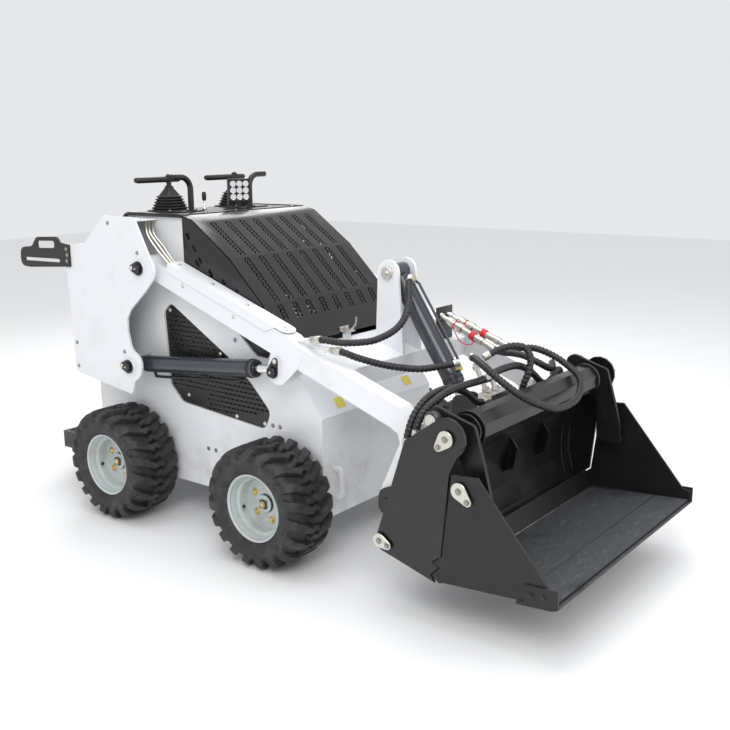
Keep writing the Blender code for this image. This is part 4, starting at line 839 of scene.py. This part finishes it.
def lamp():
    """Square work lamp: finned body, bezel, nine reflector cups before a mirror plate, bracket and lead."""
    angle = math.radians(-32)
    turn = np.array([[math.cos(angle), -math.sin(angle), 0], [math.sin(angle), math.cos(angle), 0],
                     [0, 0, 1]])
    place = (0.240, 0.056, DECK_TOP + 0.0343)
    size, half = 0.105, 0.0525
    body = [brick((-0.030, -half, 0), (-0.004, half, size), 0.004),
            brick((-0.010, -half, 0), (0, -half + 0.008, size)),
            brick((-0.010, half - 0.008, 0), (0, half, size)), brick((-0.010, -half, 0), (0, half, 0.008)),
            brick((-0.010, -half, size - 0.008), (0, half, size))]
    for k in range(11):
        y = -0.046 + 0.0092 * k
        body.append(brick((-0.045, y - 0.0016, 0.004), (-0.028, y + 0.0016, size - 0.004), 0.0008))
    body += [brick((-0.035, -0.045, -0.034), (-0.010, 0.045, -0.029), 0.002),
             brick((-0.030, -0.010, -0.031), (-0.015, 0.010, 0.003), 0.002)]
    body += [brick((-0.036, side * 0.049 - 0.0035, -0.031), (-0.012, side * 0.049 + 0.0035, 0.030), 0.002)
             for _, side in SIDES]
    piece("lamp_body", moved(join(body), turn, place), PLASTIC, "chassis", 30, ["work_lamp"])
    cups = []
    cup = lathe([(0.0145, 0.0), (0.0140, 0.0010), (0.0105, -0.0045), (0.0060, -0.0070), (0.0035, -0.0072),
                 (0.0030, -0.0050), (0.001, -0.0046), (0.001, -0.0085), (0.0145, -0.0085)], 26)
    for row in range(3):
        for column in range(3):
            cups.append(moved(cup, basis((1, 0, 0)),
                              (0.0028, (column - 1) * 0.0300, half + (row - 1) * 0.0300)))
    piece("lamp_cups",
          moved(join(cups), turn, (place[0] - 0.0035 * math.cos(angle), place[1] - 0.0035 * math.sin(angle),
                                                place[2])), CHROME, "chassis", 50)
    plate_behind = brick((-0.0105, -half + 0.0075, 0.0075), (-0.0050, half - 0.0075, size - 0.0075), 0.0004)
    piece("lamp_reflector", moved(plate_behind, turn, place), GLASS, "chassis")
    cable = [(0.205, 0.070, DECK_TOP + 0.050), (0.185, 0.080, DECK_TOP + 0.046),
             (0.170, 0.083, DECK_TOP + 0.025),
             (0.168, 0.070, DECK_TOP + 0.006), (0.180, 0.030, DECK_TOP + 0.0045),
             (0.200, -0.010, DECK_TOP + 0.0045),
             (0.235, -0.020, DECK_TOP + 0.0030)]
    piece("lamp_lead", tube(curve(cable, 0.006), 0.0032, 10), PLASTIC, "chassis")


def station():
    """Tread strips on the foot platform, and the handles' screws."""
    bars = []
    for k in range(11):
        x = -0.665 + 0.030 * k
        bars.append(brick((x, -0.335, 0.235), (x + 0.010, 0.335, 0.2385), 0.001))
    piece("platform_treads", join(bars), BOOT, "chassis")
    screws = []
    for _, side in SIDES:
        for x, z in ((-0.305, 1.150), (-0.305, 1.205), (-0.300, 1.178)):
            screws.append(bolt((x, side * 0.5263, z), (0, side, 0), 0.0068))
    piece("handle_screws", join(screws), BOLT_STEEL, "chassis")


# ---- arms and cylinders -----------------------------------------------------------------------
def arm_middle(x):
    """Height of an arm's middle line at x."""
    return LIFT_PIVOT[1] + ARM_SLOPE * (x - LIFT_PIVOT[0])


def arms():
    """Pipe covers with rounded tips, cover screws, weld beads, braided hoses, pipe nuts and pin caps."""
    covers, screws, beads = [], [], []
    rise = -math.atan(-ARM_SLOPE)
    turn = np.array([[math.cos(rise), 0, -math.sin(rise)], [0, 1, 0], [math.sin(rise), 0, math.cos(rise)]])
    for _, side in SIDES:
        origin = np.array([0.335, 0, arm_middle(0.335) + ARM_HALF_DEPTH + 0.0305])
        low, high = sorted((side * 0.399, side * 0.4805))
        lid = plate(rounded([(0, low), (0.705, low, 0.035), (0.705, high, 0.035), (0, high)], 6), 0, 0.0035,
                    "z")
        low, high = sorted((side * 0.4772, side * 0.4805))
        flange = plate([(0, 0.0), (0, -0.036), (0.60, -0.036), (0.645, 0.0)], low, high, "y")
        covers.append(moved(join([lid, flange]), turn, origin))
        for along in (0.03, 0.24, 0.45, 0.66):
            place = origin + turn @ np.array([along, side * 0.440, 0.0035])
            screws.append(bolt(place, turn @ np.array([0, 0, 1]), 0.0058))
        for x in (0.42, 0.715):
            screws.append(bolt((x, side * 0.475, arm_middle(x) + 0.012), (0, side, 0), 0.0058))
        path = [(x, side * 0.4745, arm_middle(x) - (ARM_HALF_DEPTH - 0.004)) for x in np.linspace(1.10, 1.50,
                                                                                                  120)]
        beads.append(bead(path, 0.0028, 0.0005, 0.007))
    piece("arm_covers", join(covers), WHITE, "lift_arms")
    piece("arm_screws", join(screws), ZINC, "lift_arms")
    seam = [(x, y, arm_middle(x) + ARM_HALF_DEPTH - 0.001) for x, y in
            [(1.119, y) for y in np.linspace(-0.40, 0.40, 200)]]
    beads.append(bead(seam, 0.0030, 0.0005, 0.007))
    piece("arm_welds", join(beads), WHITE, "lift_arms")
    pipes = []
    for k, (y, lift) in enumerate(((-0.462, 0.012), (-0.445, 0.016), (-0.425, 0.012))):
        route = [(0.345, y, arm_middle(0.345) + 0.053 + 0.3 * lift),
                 (0.300, y, arm_middle(0.30) + 0.060 + lift),
                 (0.240, y + 0.004 * k, 1.225 + lift), (0.185, y + 0.01, 1.270 + lift),
                 (0.150, y + 0.03, 1.318), (0.135, y + 0.045, 1.340)]
        pipes.append(tube(curve(route, 0.0035), 0.0070, 12, lambda s, a: 0.0005 * np.cos(2 * a + s * 900)))
    bend = ("chassis", "lift_arms", (0.150, -0.44, 1.320), (0.300, -0.44, 1.185))
    piece("braided_hoses", join(pipes), ZINC, bend, 60)
    steel = []
    for start, end in ARM_PIPES:
        start, end = np.array(start), np.array(end)
        way = (end - start) / np.linalg.norm(end - start)
        for back, size in ((0.030, 0.0150), (0.012, 0.0165)):
            nut = lathe([(0.001, 0), (size, 0.001), (size, 0.014), (0.001, 0.015)], 6)
            steel.append(moved(nut, basis(way), end - way * back))
    piece("arm_pipe_nuts", join(steel), ZINC, "lift_arms")
    caps = []
    for _, side in SIDES:
        cap = lathe([(0.001, 0), (0.026, 0), (0.026, 0.006), (0.024, 0.008), (0.001, 0.008)], 30)
        caps.append(axle(cap, *TILT_BASE, 0.0722, side))
        caps.append(bolt((TILT_BASE[0], side * 0.080, TILT_BASE[1]), (0, side, 0), 0.009))
    piece("tilt_pin_caps", join(caps), ZINC, "lift_arms")


def cylinder(tag, base, tip, y, barrel, gland, rod, inside_length, eye, width, eye_width, bore):
    """Hydraulic cylinder: turned barrel with its end cap and gland nut, and its chromed rod and eye."""
    start, end = np.array([base[0], y, base[1]]), np.array([tip[0], y, tip[1]])
    length = np.linalg.norm(end - start)
    way = (end - start) / length
    turn = basis(way, (0, 1, 0))
    foot, hole = eye * 0.72, rod + 0.0006
    kind, hand = tag.split("_cylinder")
    barrel_body, rod_body = kind + "_barrel" + hand, kind + "_rod" + hand
    outer = [(0.001, foot + 0.03), (0.001, foot), (barrel * 0.72, foot),
             (barrel * 0.98, foot + 0.010), (barrel, foot + 0.016), (barrel * 0.985, foot + 0.022),
             (barrel * 0.985, gland - 0.045), (barrel, gland - 0.042), (barrel, gland - 0.005),
             (barrel * 0.97, gland), (hole + 0.004, gland), (hole, gland - 0.003)]
    tube_shape = lathe(outer, 48)
    ring = np.linspace(-math.pi, math.pi, 40, endpoint=False)
    boss = []
    for radius, reach in ((bore, width / 2), (eye, width / 2), (eye, -width / 2), (bore, -width / 2)):
        boss.append([(base[0] + radius * math.cos(a), y + reach,
                      base[1] + radius * math.sin(a)) for a in ring])
    body = join([moved(tube_shape, turn, start), grid(np.array(boss), wrap_u=True, wrap_v=True)])
    piece(tag + "_tube", body, CYLINDER, barrel_body, 30, [tag + "_barrel"])
    nut = lathe([(hole + 0.0005, gland - 0.001), (barrel * 0.86, gland - 0.001),
                 (barrel * 0.86, gland + 0.003),
                 (barrel * 0.80, gland + 0.0045), (hole + 0.002, gland + 0.0045)], 48, closed=True)
    collar = lathe([(barrel * 0.97, gland - 0.030), (barrel + 0.0016, gland - 0.030),
                    (barrel + 0.0016, gland - 0.016),
                    (barrel * 0.97, gland - 0.016)], 48, closed=True)
    piece(tag + "_gland", moved(join([nut, collar]), turn, start), BLACK, barrel_body,
          30)
    sides = [moved(lathe([(0.001, length - inside_length), (rod, length - inside_length),
                          (rod, length - eye * 0.7),
                          (0.001, length - eye * 0.7)], 40), turn, start)]
    boss = [(0.001, -eye_width / 2), (eye - 0.002, -eye_width / 2), (eye, -eye_width / 2 + 0.002),
            (eye, eye_width / 2 - 0.002), (eye - 0.002, eye_width / 2), (0.001, eye_width / 2)]
    piece(tag + "_shaft", join(sides), CHROME, rod_body, 30, [tag + "_rod"])
    piece(tag + "_eye", axle(lathe(boss, 40), tip[0], tip[1], y), CYLINDER, rod_body,
          30)


def cylinders():
    """Five cylinders, the lift cylinders' side pipes, and the ports that the hoses screw into."""
    ports = []
    for side_name, side in SIDES:
        cylinder("lift_cylinder_" + side_name, LIFT_BASE, ROD_PIN, side * CYL_MID, 0.038, 0.715, 0.018, 0.60,
                 0.034, 0.080, 0.040, 0.0208)
        cylinder("clam_cylinder_" + side_name, CLAM_BASE, ROCKER_PIN, side * CLAM_CYL_MID, 0.027, 0.330,
                 0.014, 0.24,
                 0.030, 0.050, 0.030, 0.0173)
        pipe = [(0.160, side * CYL_MID, 0.690), (0.175, side * CYL_MID, 0.664),
                (0.205, side * CYL_MID, 0.660),
                (0.500, side * CYL_MID, 0.690), (0.690, side * CYL_MID, 0.709),
                (0.715, side * CYL_MID, 0.722)]
        piece("lift_pipe_" + side_name, tube(curve(pipe, 0.008), 0.0065, 14), BLACK,
              "lift_barrel_" + side_name,
              40)
    cylinder("tilt_cylinder", TILT_BASE, TILT_ROD_PIN, 0, 0.042, 0.520, 0.020, 0.40, 0.034, 0.080, 0.050,
             0.0208)
    start, way = np.array([TILT_BASE[0], 0, TILT_BASE[1]]), np.array([0.333, 0, -0.507]) / math.hypot(0.333,
                                                                                                      0.507)
    out = np.array([-way[2], 0, way[0]])
    for along, reach in ((0.062, 0.050), (0.470, 0.050)):
        at = start + way * along
        ports.append(moved(lathe([(0.001, 0.034), (0.0125, 0.034), (0.0125, reach), (0.0145, reach),
                                  (0.0145, reach + 0.008),
                                  (0.001, reach + 0.008)], 20), basis(out), at))
    piece("tilt_ports", join(ports), GOLD, "tilt_barrel")
    pipe = [start + way * s + out * r + np.array([0, 0.018, 0]) for s, r in
            ((0.075, 0.046), (0.090, 0.053), (0.120, 0.054), (0.40, 0.054), (0.445, 0.052), (0.460, 0.045))]
    piece("tilt_pipe", tube(curve(pipe, 0.008), 0.0055, 14), CYLINDER, "tilt_barrel", 40)


# ---- bucket -----------------------------------------------------------------------------------
def retainers():
    """Zinc retainer plates with two bolts over the bucket's pins, and round pins at the rockers."""
    fixed, clam, rods, heads = [], [], [], {"bucket": [], "clam": []}
    for _, side in SIDES:
        for where, centre, tail, store, step in (("pivot", CLAM_PIVOT, (1.790, 0.668), fixed, 0.0072),
                                                 ("base", CLAM_BASE, (1.575, 0.262), fixed, 0.0072),
                                                 ("stay", STAY_PIN, (1.905, 0.498), clam, 0.0062)):
            base = SIDE_OUT + step
            low, high = sorted((side * base, side * (base + 0.006)))
            eye = 0.030 if where != "base" else 0.027
            store.append(plate(drop(centre, tail, eye, 0.016), low, high, bevel=0.0012))
            body = "clam" if where == "stay" else "bucket"
            heads[body].append(bolt((tail[0], side * (base + 0.006), tail[1]), (0, side, 0), 0.0078))
            heads[body].append(bolt((centre[0], side * (base + 0.006), centre[1]), (0, side, 0), 0.0085))
        pin = lathe([(0.001, -0.018), (0.0125, -0.018), (0.0125, 0.018), (0.0100, 0.021), (0.001, 0.021)], 28)
        rods.append(axle(pin, *ROCKER_PIN, CLAM_CYL_MID, side))
        collar = lathe([(0.001, 0), (0.022, 0), (0.022, 0.005), (0.001, 0.005)], 28)
        rods.append(axle(collar, *ROCKER_PIN, CLAM_CYL_MID + 0.0155, side))
    for body, shapes in heads.items():
        piece(body + "_retainer_bolts", join(shapes), BOLT_STEEL, body)
    piece("fixed_retainers", join(fixed), ZINC, "bucket")
    piece("stay_retainers", join(clam), ZINC, "clam")
    for side_name, half in (("right", 0), ("left", 1)):
        piece("rocker_pin_" + side_name, join(rods[2 * half:2 * half + 2]), ZINC, "clam_rod_" + side_name)


def bucket():
    """Discs at the beam's ends, gussets, weld beads, cutter bolts, ports and side pipes."""
    discs, beads, welds, cutters = [], [], [], []
    for _, side in SIDES:
        for reach, radius, thick in ((0.4435, 0.066, 0.009), (0.462, 0.058, 0.009)):
            disc = lathe([(0.021, 0), (radius - 0.001, 0), (radius, 0.001), (radius, thick - 0.001),
                          (radius - 0.001, thick), (0.021, thick)], 56, closed=True)
            discs.append(axle(disc, *CLAM_PIVOT, reach, side))
        sleeve = lathe([(0.0202, 0), (0.030, 0), (0.030, 0.034), (0.0202, 0.034)], 36, closed=True)
        discs.append(axle(sleeve, *CLAM_PIVOT, 0.470, side))
        for x, z in ((2.145, 0.236), (2.192, 0.241)):
            cutters.append(bolt((x, side * 0.598, z), (0, side, 0), 0.0085))
    for k in range(3):
        y = 0.26 * (k - 1)
        low, high = y - 0.004, y + 0.004
        discs.append(plate([(1.722, 0.552), (1.760, 0.505), (1.742, 0.420), (1.700, 0.400), (1.6985, 0.450)],
                           low, high))
    lip = [(1.7225, y, 0.5480) for y in np.linspace(-0.575, 0.575, 290)]
    welds.append(bead(lip, 0.0034, 0.0007))
    blade = [(1.722, 0.552), (1.6985, 0.450), (1.6985, 0.342), (1.7195, 0.256)]
    for y in (-0.568, -0.497, 0.497, 0.568):
        path = curve([(x + 0.001, y, z) for x, z in blade], 0.004)
        welds.append(bead(path, 0.0032))
    path = [(1.772, y, 0.6445) for y in np.linspace(-0.49, 0.49, 240)]
    welds.append(bead(path, 0.0032))
    for _, side in SIDES:
        path = [(x, side * 0.578, 0.1935 + 0.0535 * (x - 1.80)) for x in np.linspace(1.82, 2.08, 70)]
        beads.append(bead(path, 0.0036))
    path = [(2.093, y, 0.2123) for y in np.linspace(-0.575, 0.575, 290)]
    beads.append(bead(path, 0.0030))
    heel = [(1.8105, y, 0.1925) for y in np.linspace(-0.574, 0.574, 290)]
    worn = tube(heel, 0.0022, 8, lambda s, a: 0.0005 * np.cos(s * 41))
    piece("heel_seam", worn, ZINC, "clam")
    piece("beam_discs", join(discs), BLACK, "bucket")
    piece("back_welds", join(welds), WELD, "bucket")
    piece("floor_welds", join(beads), BUCKET, "clam")
    piece("cutter_bolts", join(cutters), BLACK, "clam")
    for side_name, side in SIDES:
        start = np.array([CLAM_BASE[0], side * CLAM_CYL_MID, CLAM_BASE[1]])
        way = np.array([ROCKER_PIN[0] - CLAM_BASE[0], 0, ROCKER_PIN[1] - CLAM_BASE[1]])
        way /= np.linalg.norm(way)
        back = np.array([-way[2], 0, way[0]])
        shapes = []
        for along in (0.055, 0.305):
            port = lathe([(0.001, 0.020), (0.0100, 0.020), (0.0100, 0.034), (0.0125, 0.034), (0.0125, 0.043),
                          (0.001, 0.043)], 6)
            shapes.append(moved(port, basis(back), start + way * along))
        piece("clam_ports_" + side_name, join(shapes), GOLD, "clam_barrel_" + side_name)
        pipe = [start + way * s + back * r for s,
                r in ((0.055, 0.040), (0.075, 0.046), (0.110, 0.040), (0.19, 0.040))]
        piece("clam_pipe_" + side_name, tube(curve(pipe, 0.006), 0.0055, 12), BLACK,
              "clam_barrel_" + side_name,
              40)


# ---- hoses ------------------------------------------------------------------------------------
HOSES = {
    "tilt_hose_base": [(1.1244, -0.440, 0.9301), (1.1584, -0.4386, 0.9339), (1.224, -0.400, 0.924),
                       (1.281, -0.340, 0.924), (1.313, -0.300, 0.933), (1.334, -0.220, 0.958),
                       (1.339, -0.160, 1.000),
                       (1.322, -0.110, 1.059), (1.293, -0.070, 1.112), (1.276, -0.032, 1.136)],
    "tilt_hose_gland": [(1.2084, -0.420, 0.8939), (1.2425, -0.4192, 0.8916), (1.278, -0.378, 0.868),
                        (1.329, -0.310, 0.839), (1.380, -0.250, 0.821), (1.438, -0.190, 0.812),
                        (1.490, -0.120, 0.818),
                        (1.532, -0.068, 0.826)],
    "clam_hose_loop": [(1.604, -0.093, 0.8625), (1.660, -0.150, 0.868), (1.740, -0.224, 0.866),
                       (1.820, -0.246, 0.829),
                       (1.900, -0.245, 0.788), (1.930, -0.167, 0.744), (1.940, -0.046, 0.702),
                       (1.930, 0.107, 0.691),
                       (1.908, 0.213, 0.708), (1.880, 0.262, 0.754), (1.805, 0.285, 0.795),
                       (1.740, 0.286, 0.824),
                       (1.670, 0.284, 0.840), (1.605, 0.293, 0.832), (1.5557, 0.300, 0.824),
                       (1.5274, 0.300, 0.8339)],
    "clam_hose_return": [(1.4757, 0.250, 0.8317), (1.5026, 0.250, 0.8202), (1.550, 0.238, 0.816),
                         (1.610, 0.214, 0.824),
                         (1.670, 0.197, 0.824), (1.715, 0.215, 0.803), (1.735, 0.262, 0.775),
                         (1.722, 0.325, 0.757),
                         (1.690, 0.395, 0.750), (1.655, 0.470, 0.745), (1.630, 0.530, 0.700),
                         (1.622, 0.547, 0.640)],
    "clam_hose_arch": [(1.625, -0.040, 0.853), (1.660, 0.010, 0.880), (1.700, 0.054, 0.892),
                       (1.735, 0.085, 0.882),
                       (1.762, 0.078, 0.845), (1.764, 0.060, 0.795), (1.752, 0.048, 0.750),
                       (1.742, 0.045, 0.7025)],
    "clam_hose_cross": [(1.660, -0.547, 0.668), (1.664, -0.540, 0.710), (1.672, -0.510, 0.755),
                        (1.688, -0.448, 0.790),
                        (1.700, -0.378, 0.806), (1.712, -0.300, 0.812), (1.720, -0.233, 0.812),
                        (1.722, -0.160, 0.815),
                        (1.722, -0.095, 0.826), (1.722, 0.026, 0.822), (1.727, 0.100, 0.800),
                        (1.732, 0.165, 0.762),
                        (1.735, 0.220, 0.722), (1.728, 0.280, 0.7045), (1.715, 0.340, 0.7035),
                        (1.700, 0.420, 0.714),
                        (1.676, 0.490, 0.714), (1.662, 0.535, 0.695), (1.657, 0.547, 0.665)],
    "clam_hose_right": [(1.622, -0.547, 0.632), (1.628, -0.543, 0.680), (1.636, -0.520, 0.735),
                        (1.648, -0.470, 0.781),
                        (1.655, -0.420, 0.797), (1.660, -0.360, 0.800), (1.664, -0.300, 0.788),
                        (1.672, -0.240, 0.762),
                        (1.684, -0.195, 0.724), (1.688, -0.165, 0.713), (1.688, -0.1306, 0.713)],
}
HOSE_RIDES = {
    "tilt_hose_base": ("lift_arms", "tilt_barrel", (1.124, -0.44, 0.93), (1.276, -0.03, 1.136)),
    "tilt_hose_gland": ("lift_arms", "tilt_barrel", (1.208, -0.42, 0.894), (1.532, -0.068, 0.826)),
    "clam_hose_loop": ("lift_arms", "bucket", (1.535, 0.30, 0.84), (1.60, -0.09, 0.86)),
    "clam_hose_return": ("lift_arms", "bucket", (1.476, 0.25, 0.832), (1.700, 0.30, 0.76)),
    "clam_hose_arch": "bucket", "clam_hose_cross": "bucket", "clam_hose_right": "bucket"}


def hoses():
    """Spiral-wrapped hoses: a round tube whose radius dips along a helix, and a ferrule at each end."""
    pitch = 0.0165
    for name, route in HOSES.items():
        path = curve(route, 0.0023)
        cover = tube(path, HOSE_RADIUS - 0.0036, 14,
                     lambda s, a: 0.0044 * np.abs(np.cos(s * math.pi / pitch - a / 2)) ** 0.5)
        ride = HOSE_RIDES[name]
        hose = piece(name + "_cover", cover, HOSE, ride, 60, [name])
        ends = []
        for first, second in ((path[0], path[7]), (path[-1], path[-8])):
            way = (second - first) / np.linalg.norm(second - first)
            ferrule = lathe([(0.001, -0.0005), (0.0150, 0), (0.0150, 0.004), (0.0158, 0.005),
                             (0.0158, 0.0085),
                             (0.0150, 0.0095), (0.0150, 0.014), (0.0158, 0.015), (0.0158, 0.0185),
                             (0.0150, 0.0195),
                             (0.0145, 0.026), (0.001, 0.0262)], 24)
            ends.append(moved(ferrule, basis(way), first))
        bodies = (ride, ride) if isinstance(ride, str) else ride[:2]
        if name == "clam_hose_loop":
            bodies = bodies[::-1]
        for label, shape, body in zip(("start", "end"), ends, bodies):
            piece(name + "_ferrule_" + label, shape, ZINC, body)


def couplers():
    """Stepped quick couplers on the arm bracket with red cords and caps, and nuts on the bucket's risers."""
    steel, red = [], []
    for start, end in COUPLERS:
        start, end = np.array(start), np.array(end)
        length = np.linalg.norm(end - start)
        way = (end - start) / length
        profile = [(0.001, 0), (0.0125, 0), (0.0125, 0.022), (0.0165, 0.024), (0.0165, 0.040),
                   (0.0125, 0.042),
                   (0.0125, 0.070), (0.0185, 0.072), (0.0200, 0.076), (0.0200, 0.098), (0.0185, 0.102),
                   (0.0160, 0.104),
                   (0.0160, 0.128), (0.0205, 0.130), (0.0205, 0.150), (0.0160, 0.154), (0.0140, 0.156),
                   (0.0140, length - 0.055), (0.0165, length - 0.053), (0.0165, length - 0.034),
                   (0.0125, length - 0.032),
                   (0.0125, length), (0.001, length)]
        steel.append(moved(lathe(profile, 32), basis(way), start))
        ring = [start + way * 0.112 + 0.0175 * (math.cos(a) * np.array([0, 1,
                                                                        0]) + math.sin(a) * np.cross(way,
                                                                                                     (0, 1,
                                                                                                      0)))
                for a in np.linspace(0, math.tau, 30)]
        red.append(tube(ring, 0.0022, 8))
        drop_line = [start + way * 0.112 + np.array([0.0, -0.018, 0.004]),
                     start + way * 0.13 + np.array([0, -0.030, -0.015]),
                     start + way * 0.16 + np.array([0, -0.026, -0.045]),
                     start + way * 0.20 + np.array([0, -0.012, -0.040]),
                     start + way * 0.215 + np.array([0, 0.0, -0.018])]
        red.append(tube(curve(drop_line, 0.004), 0.0022, 8))
        cap = lathe([(0.0145, 0), (0.0185, 0), (0.0185, 0.020), (0.0165, 0.023), (0.0145, 0.023)], 28,
                    closed=True)
        red.append(moved(cap, basis(way), start + way * 0.196))
    top = arm_middle(1.235) + ARM_HALF_DEPTH - 0.002
    carrier = brick((1.232, 0.215, top), (1.238, 0.335, 0.975), 0.001)
    piece("coupler_carrier", carrier, BLACK, "lift_arms")
    piece("quick_couplers", join(steel), ZINC, "lift_arms", 32, ["coupler_bracket"])
    piece("coupler_caps", join(red), RED, "lift_arms", 40)
    nuts = []
    for start, end in RISERS:
        start, end = np.array(start), np.array(end)
        way = (end - start) / np.linalg.norm(end - start)
        for at, size, tall in ((start + way * 0.012, 0.0155, 0.016), (start + way * 0.060, 0.0145, 0.014),
                               (end - way * 0.026, 0.0150, 0.016)):
            nuts.append(moved(lathe([(0.001, 0), (size, 0), (size, tall), (0.001, tall)], 6), basis(way), at))
    nuts.append(moved(lathe([(0.001, 0), (0.0162, 0), (0.0162, 0.040), (0.001, 0.040)], 6), basis((0, 1, 0)),
                      (1.722, -0.200, 0.8125)))
    piece("riser_nuts", join(nuts), ZINC, "bucket")


# ---- the machine ------------------------------------------------------------------------------
for end_name, axle_x in (("rear", 0.0), ("front", WHEELBASE)):
    for side_name, side in SIDES:
        wheel(end_name, side_name, side, axle_x)
side_bolts()
grilles()
labels()
pins()
hood()
deck()
lamp()
station()
arms()
cylinders()
retainers()
bucket()
hoses()
couplers()


# ---- floor, light and camera ------------------------------------------------------------------
def floor():
    """Pale studio floor."""
    mesh = bpy.data.meshes.new("studio_floor")
    size = 14.0
    mesh.from_pydata([(-size, -size, 0), (size, -size, 0), (size, size, 0), (-size, size, 0)], [],
                     [(0, 1, 2, 3)])
    thing = bpy.data.objects.new("studio_floor", mesh)
    bpy.context.scene.collection.objects.link(thing)
    surface = Finish("studio_floor")
    surface.feed("Base Color", surface.mix(surface.noise(3, 3), (0.86, 0.86, 0.86), (0.89, 0.89, 0.89)))
    surface.feed("Roughness", 0.8)
    mesh.materials.append(surface.material)


def light(name, place, aim, size, power):
    """Soft square lamp at a place, turned to its aim."""
    lamp_data = bpy.data.lights.new(name, "AREA")
    lamp_data.shape, lamp_data.size, lamp_data.energy = "SQUARE", size, power
    lamp_object = bpy.data.objects.new(name, lamp_data)
    lamp_object.location = place
    lamp_object.rotation_euler = (Vector(aim) - Vector(place)).to_track_quat("-Z", "Y").to_euler()
    bpy.context.scene.collection.objects.link(lamp_object)


def studio():
    """Even white room with a key from the front right, a fill from the left, a light from behind, and a
    square lamp over the machine.
    """
    world = bpy.data.worlds.new("studio")
    world.use_nodes = True
    world.node_tree.nodes["Background"].inputs["Color"].default_value = (0.965, 0.98, 1.0, 1)
    world.node_tree.nodes["Background"].inputs["Strength"].default_value = 0.82
    bpy.context.scene.world = world
    bpy.context.scene.view_settings.view_transform = "Standard"
    light("key", (2.6, -3.6, 4.2), (0.2, 0, 0.5), 2.6, 105)
    light("fill", (4.6, 1.2, 2.6), (0.4, 0, 0.6), 3.0, 40)
    light("back", (-3.2, 2.6, 3.6), (0, 0, 0.8), 2.5, 60)
    light("top", (0.0, 0.0, 5.0), (0, 0, 0), 3.2, 80)


def camera():
    """Camera at the front right, a little above the arms."""
    yaw, pitch, roll = math.radians(128.1088), math.radians(-12.7283), math.radians(-0.6071)
    ahead = Vector((math.cos(pitch) * math.cos(yaw), math.cos(pitch) * math.sin(yaw), math.sin(pitch)))
    right = Vector((math.sin(yaw), -math.cos(yaw), 0))
    up = right.cross(ahead)
    right, up = math.cos(roll) * right + math.sin(roll) * up, math.cos(roll) * up - math.sin(roll) * right
    data = bpy.data.cameras.new("front_right")
    data.sensor_width, data.lens = 36.0, 47.57
    view = bpy.data.objects.new("front_right", data)
    view.matrix_world = Matrix.Translation((2.7204, -3.1673, 1.646)) @ \
        Matrix((right, up, -ahead)).transposed().to_4x4()
    bpy.context.scene.collection.objects.link(view)
    bpy.context.scene.camera = view


floor()
studio()
camera()
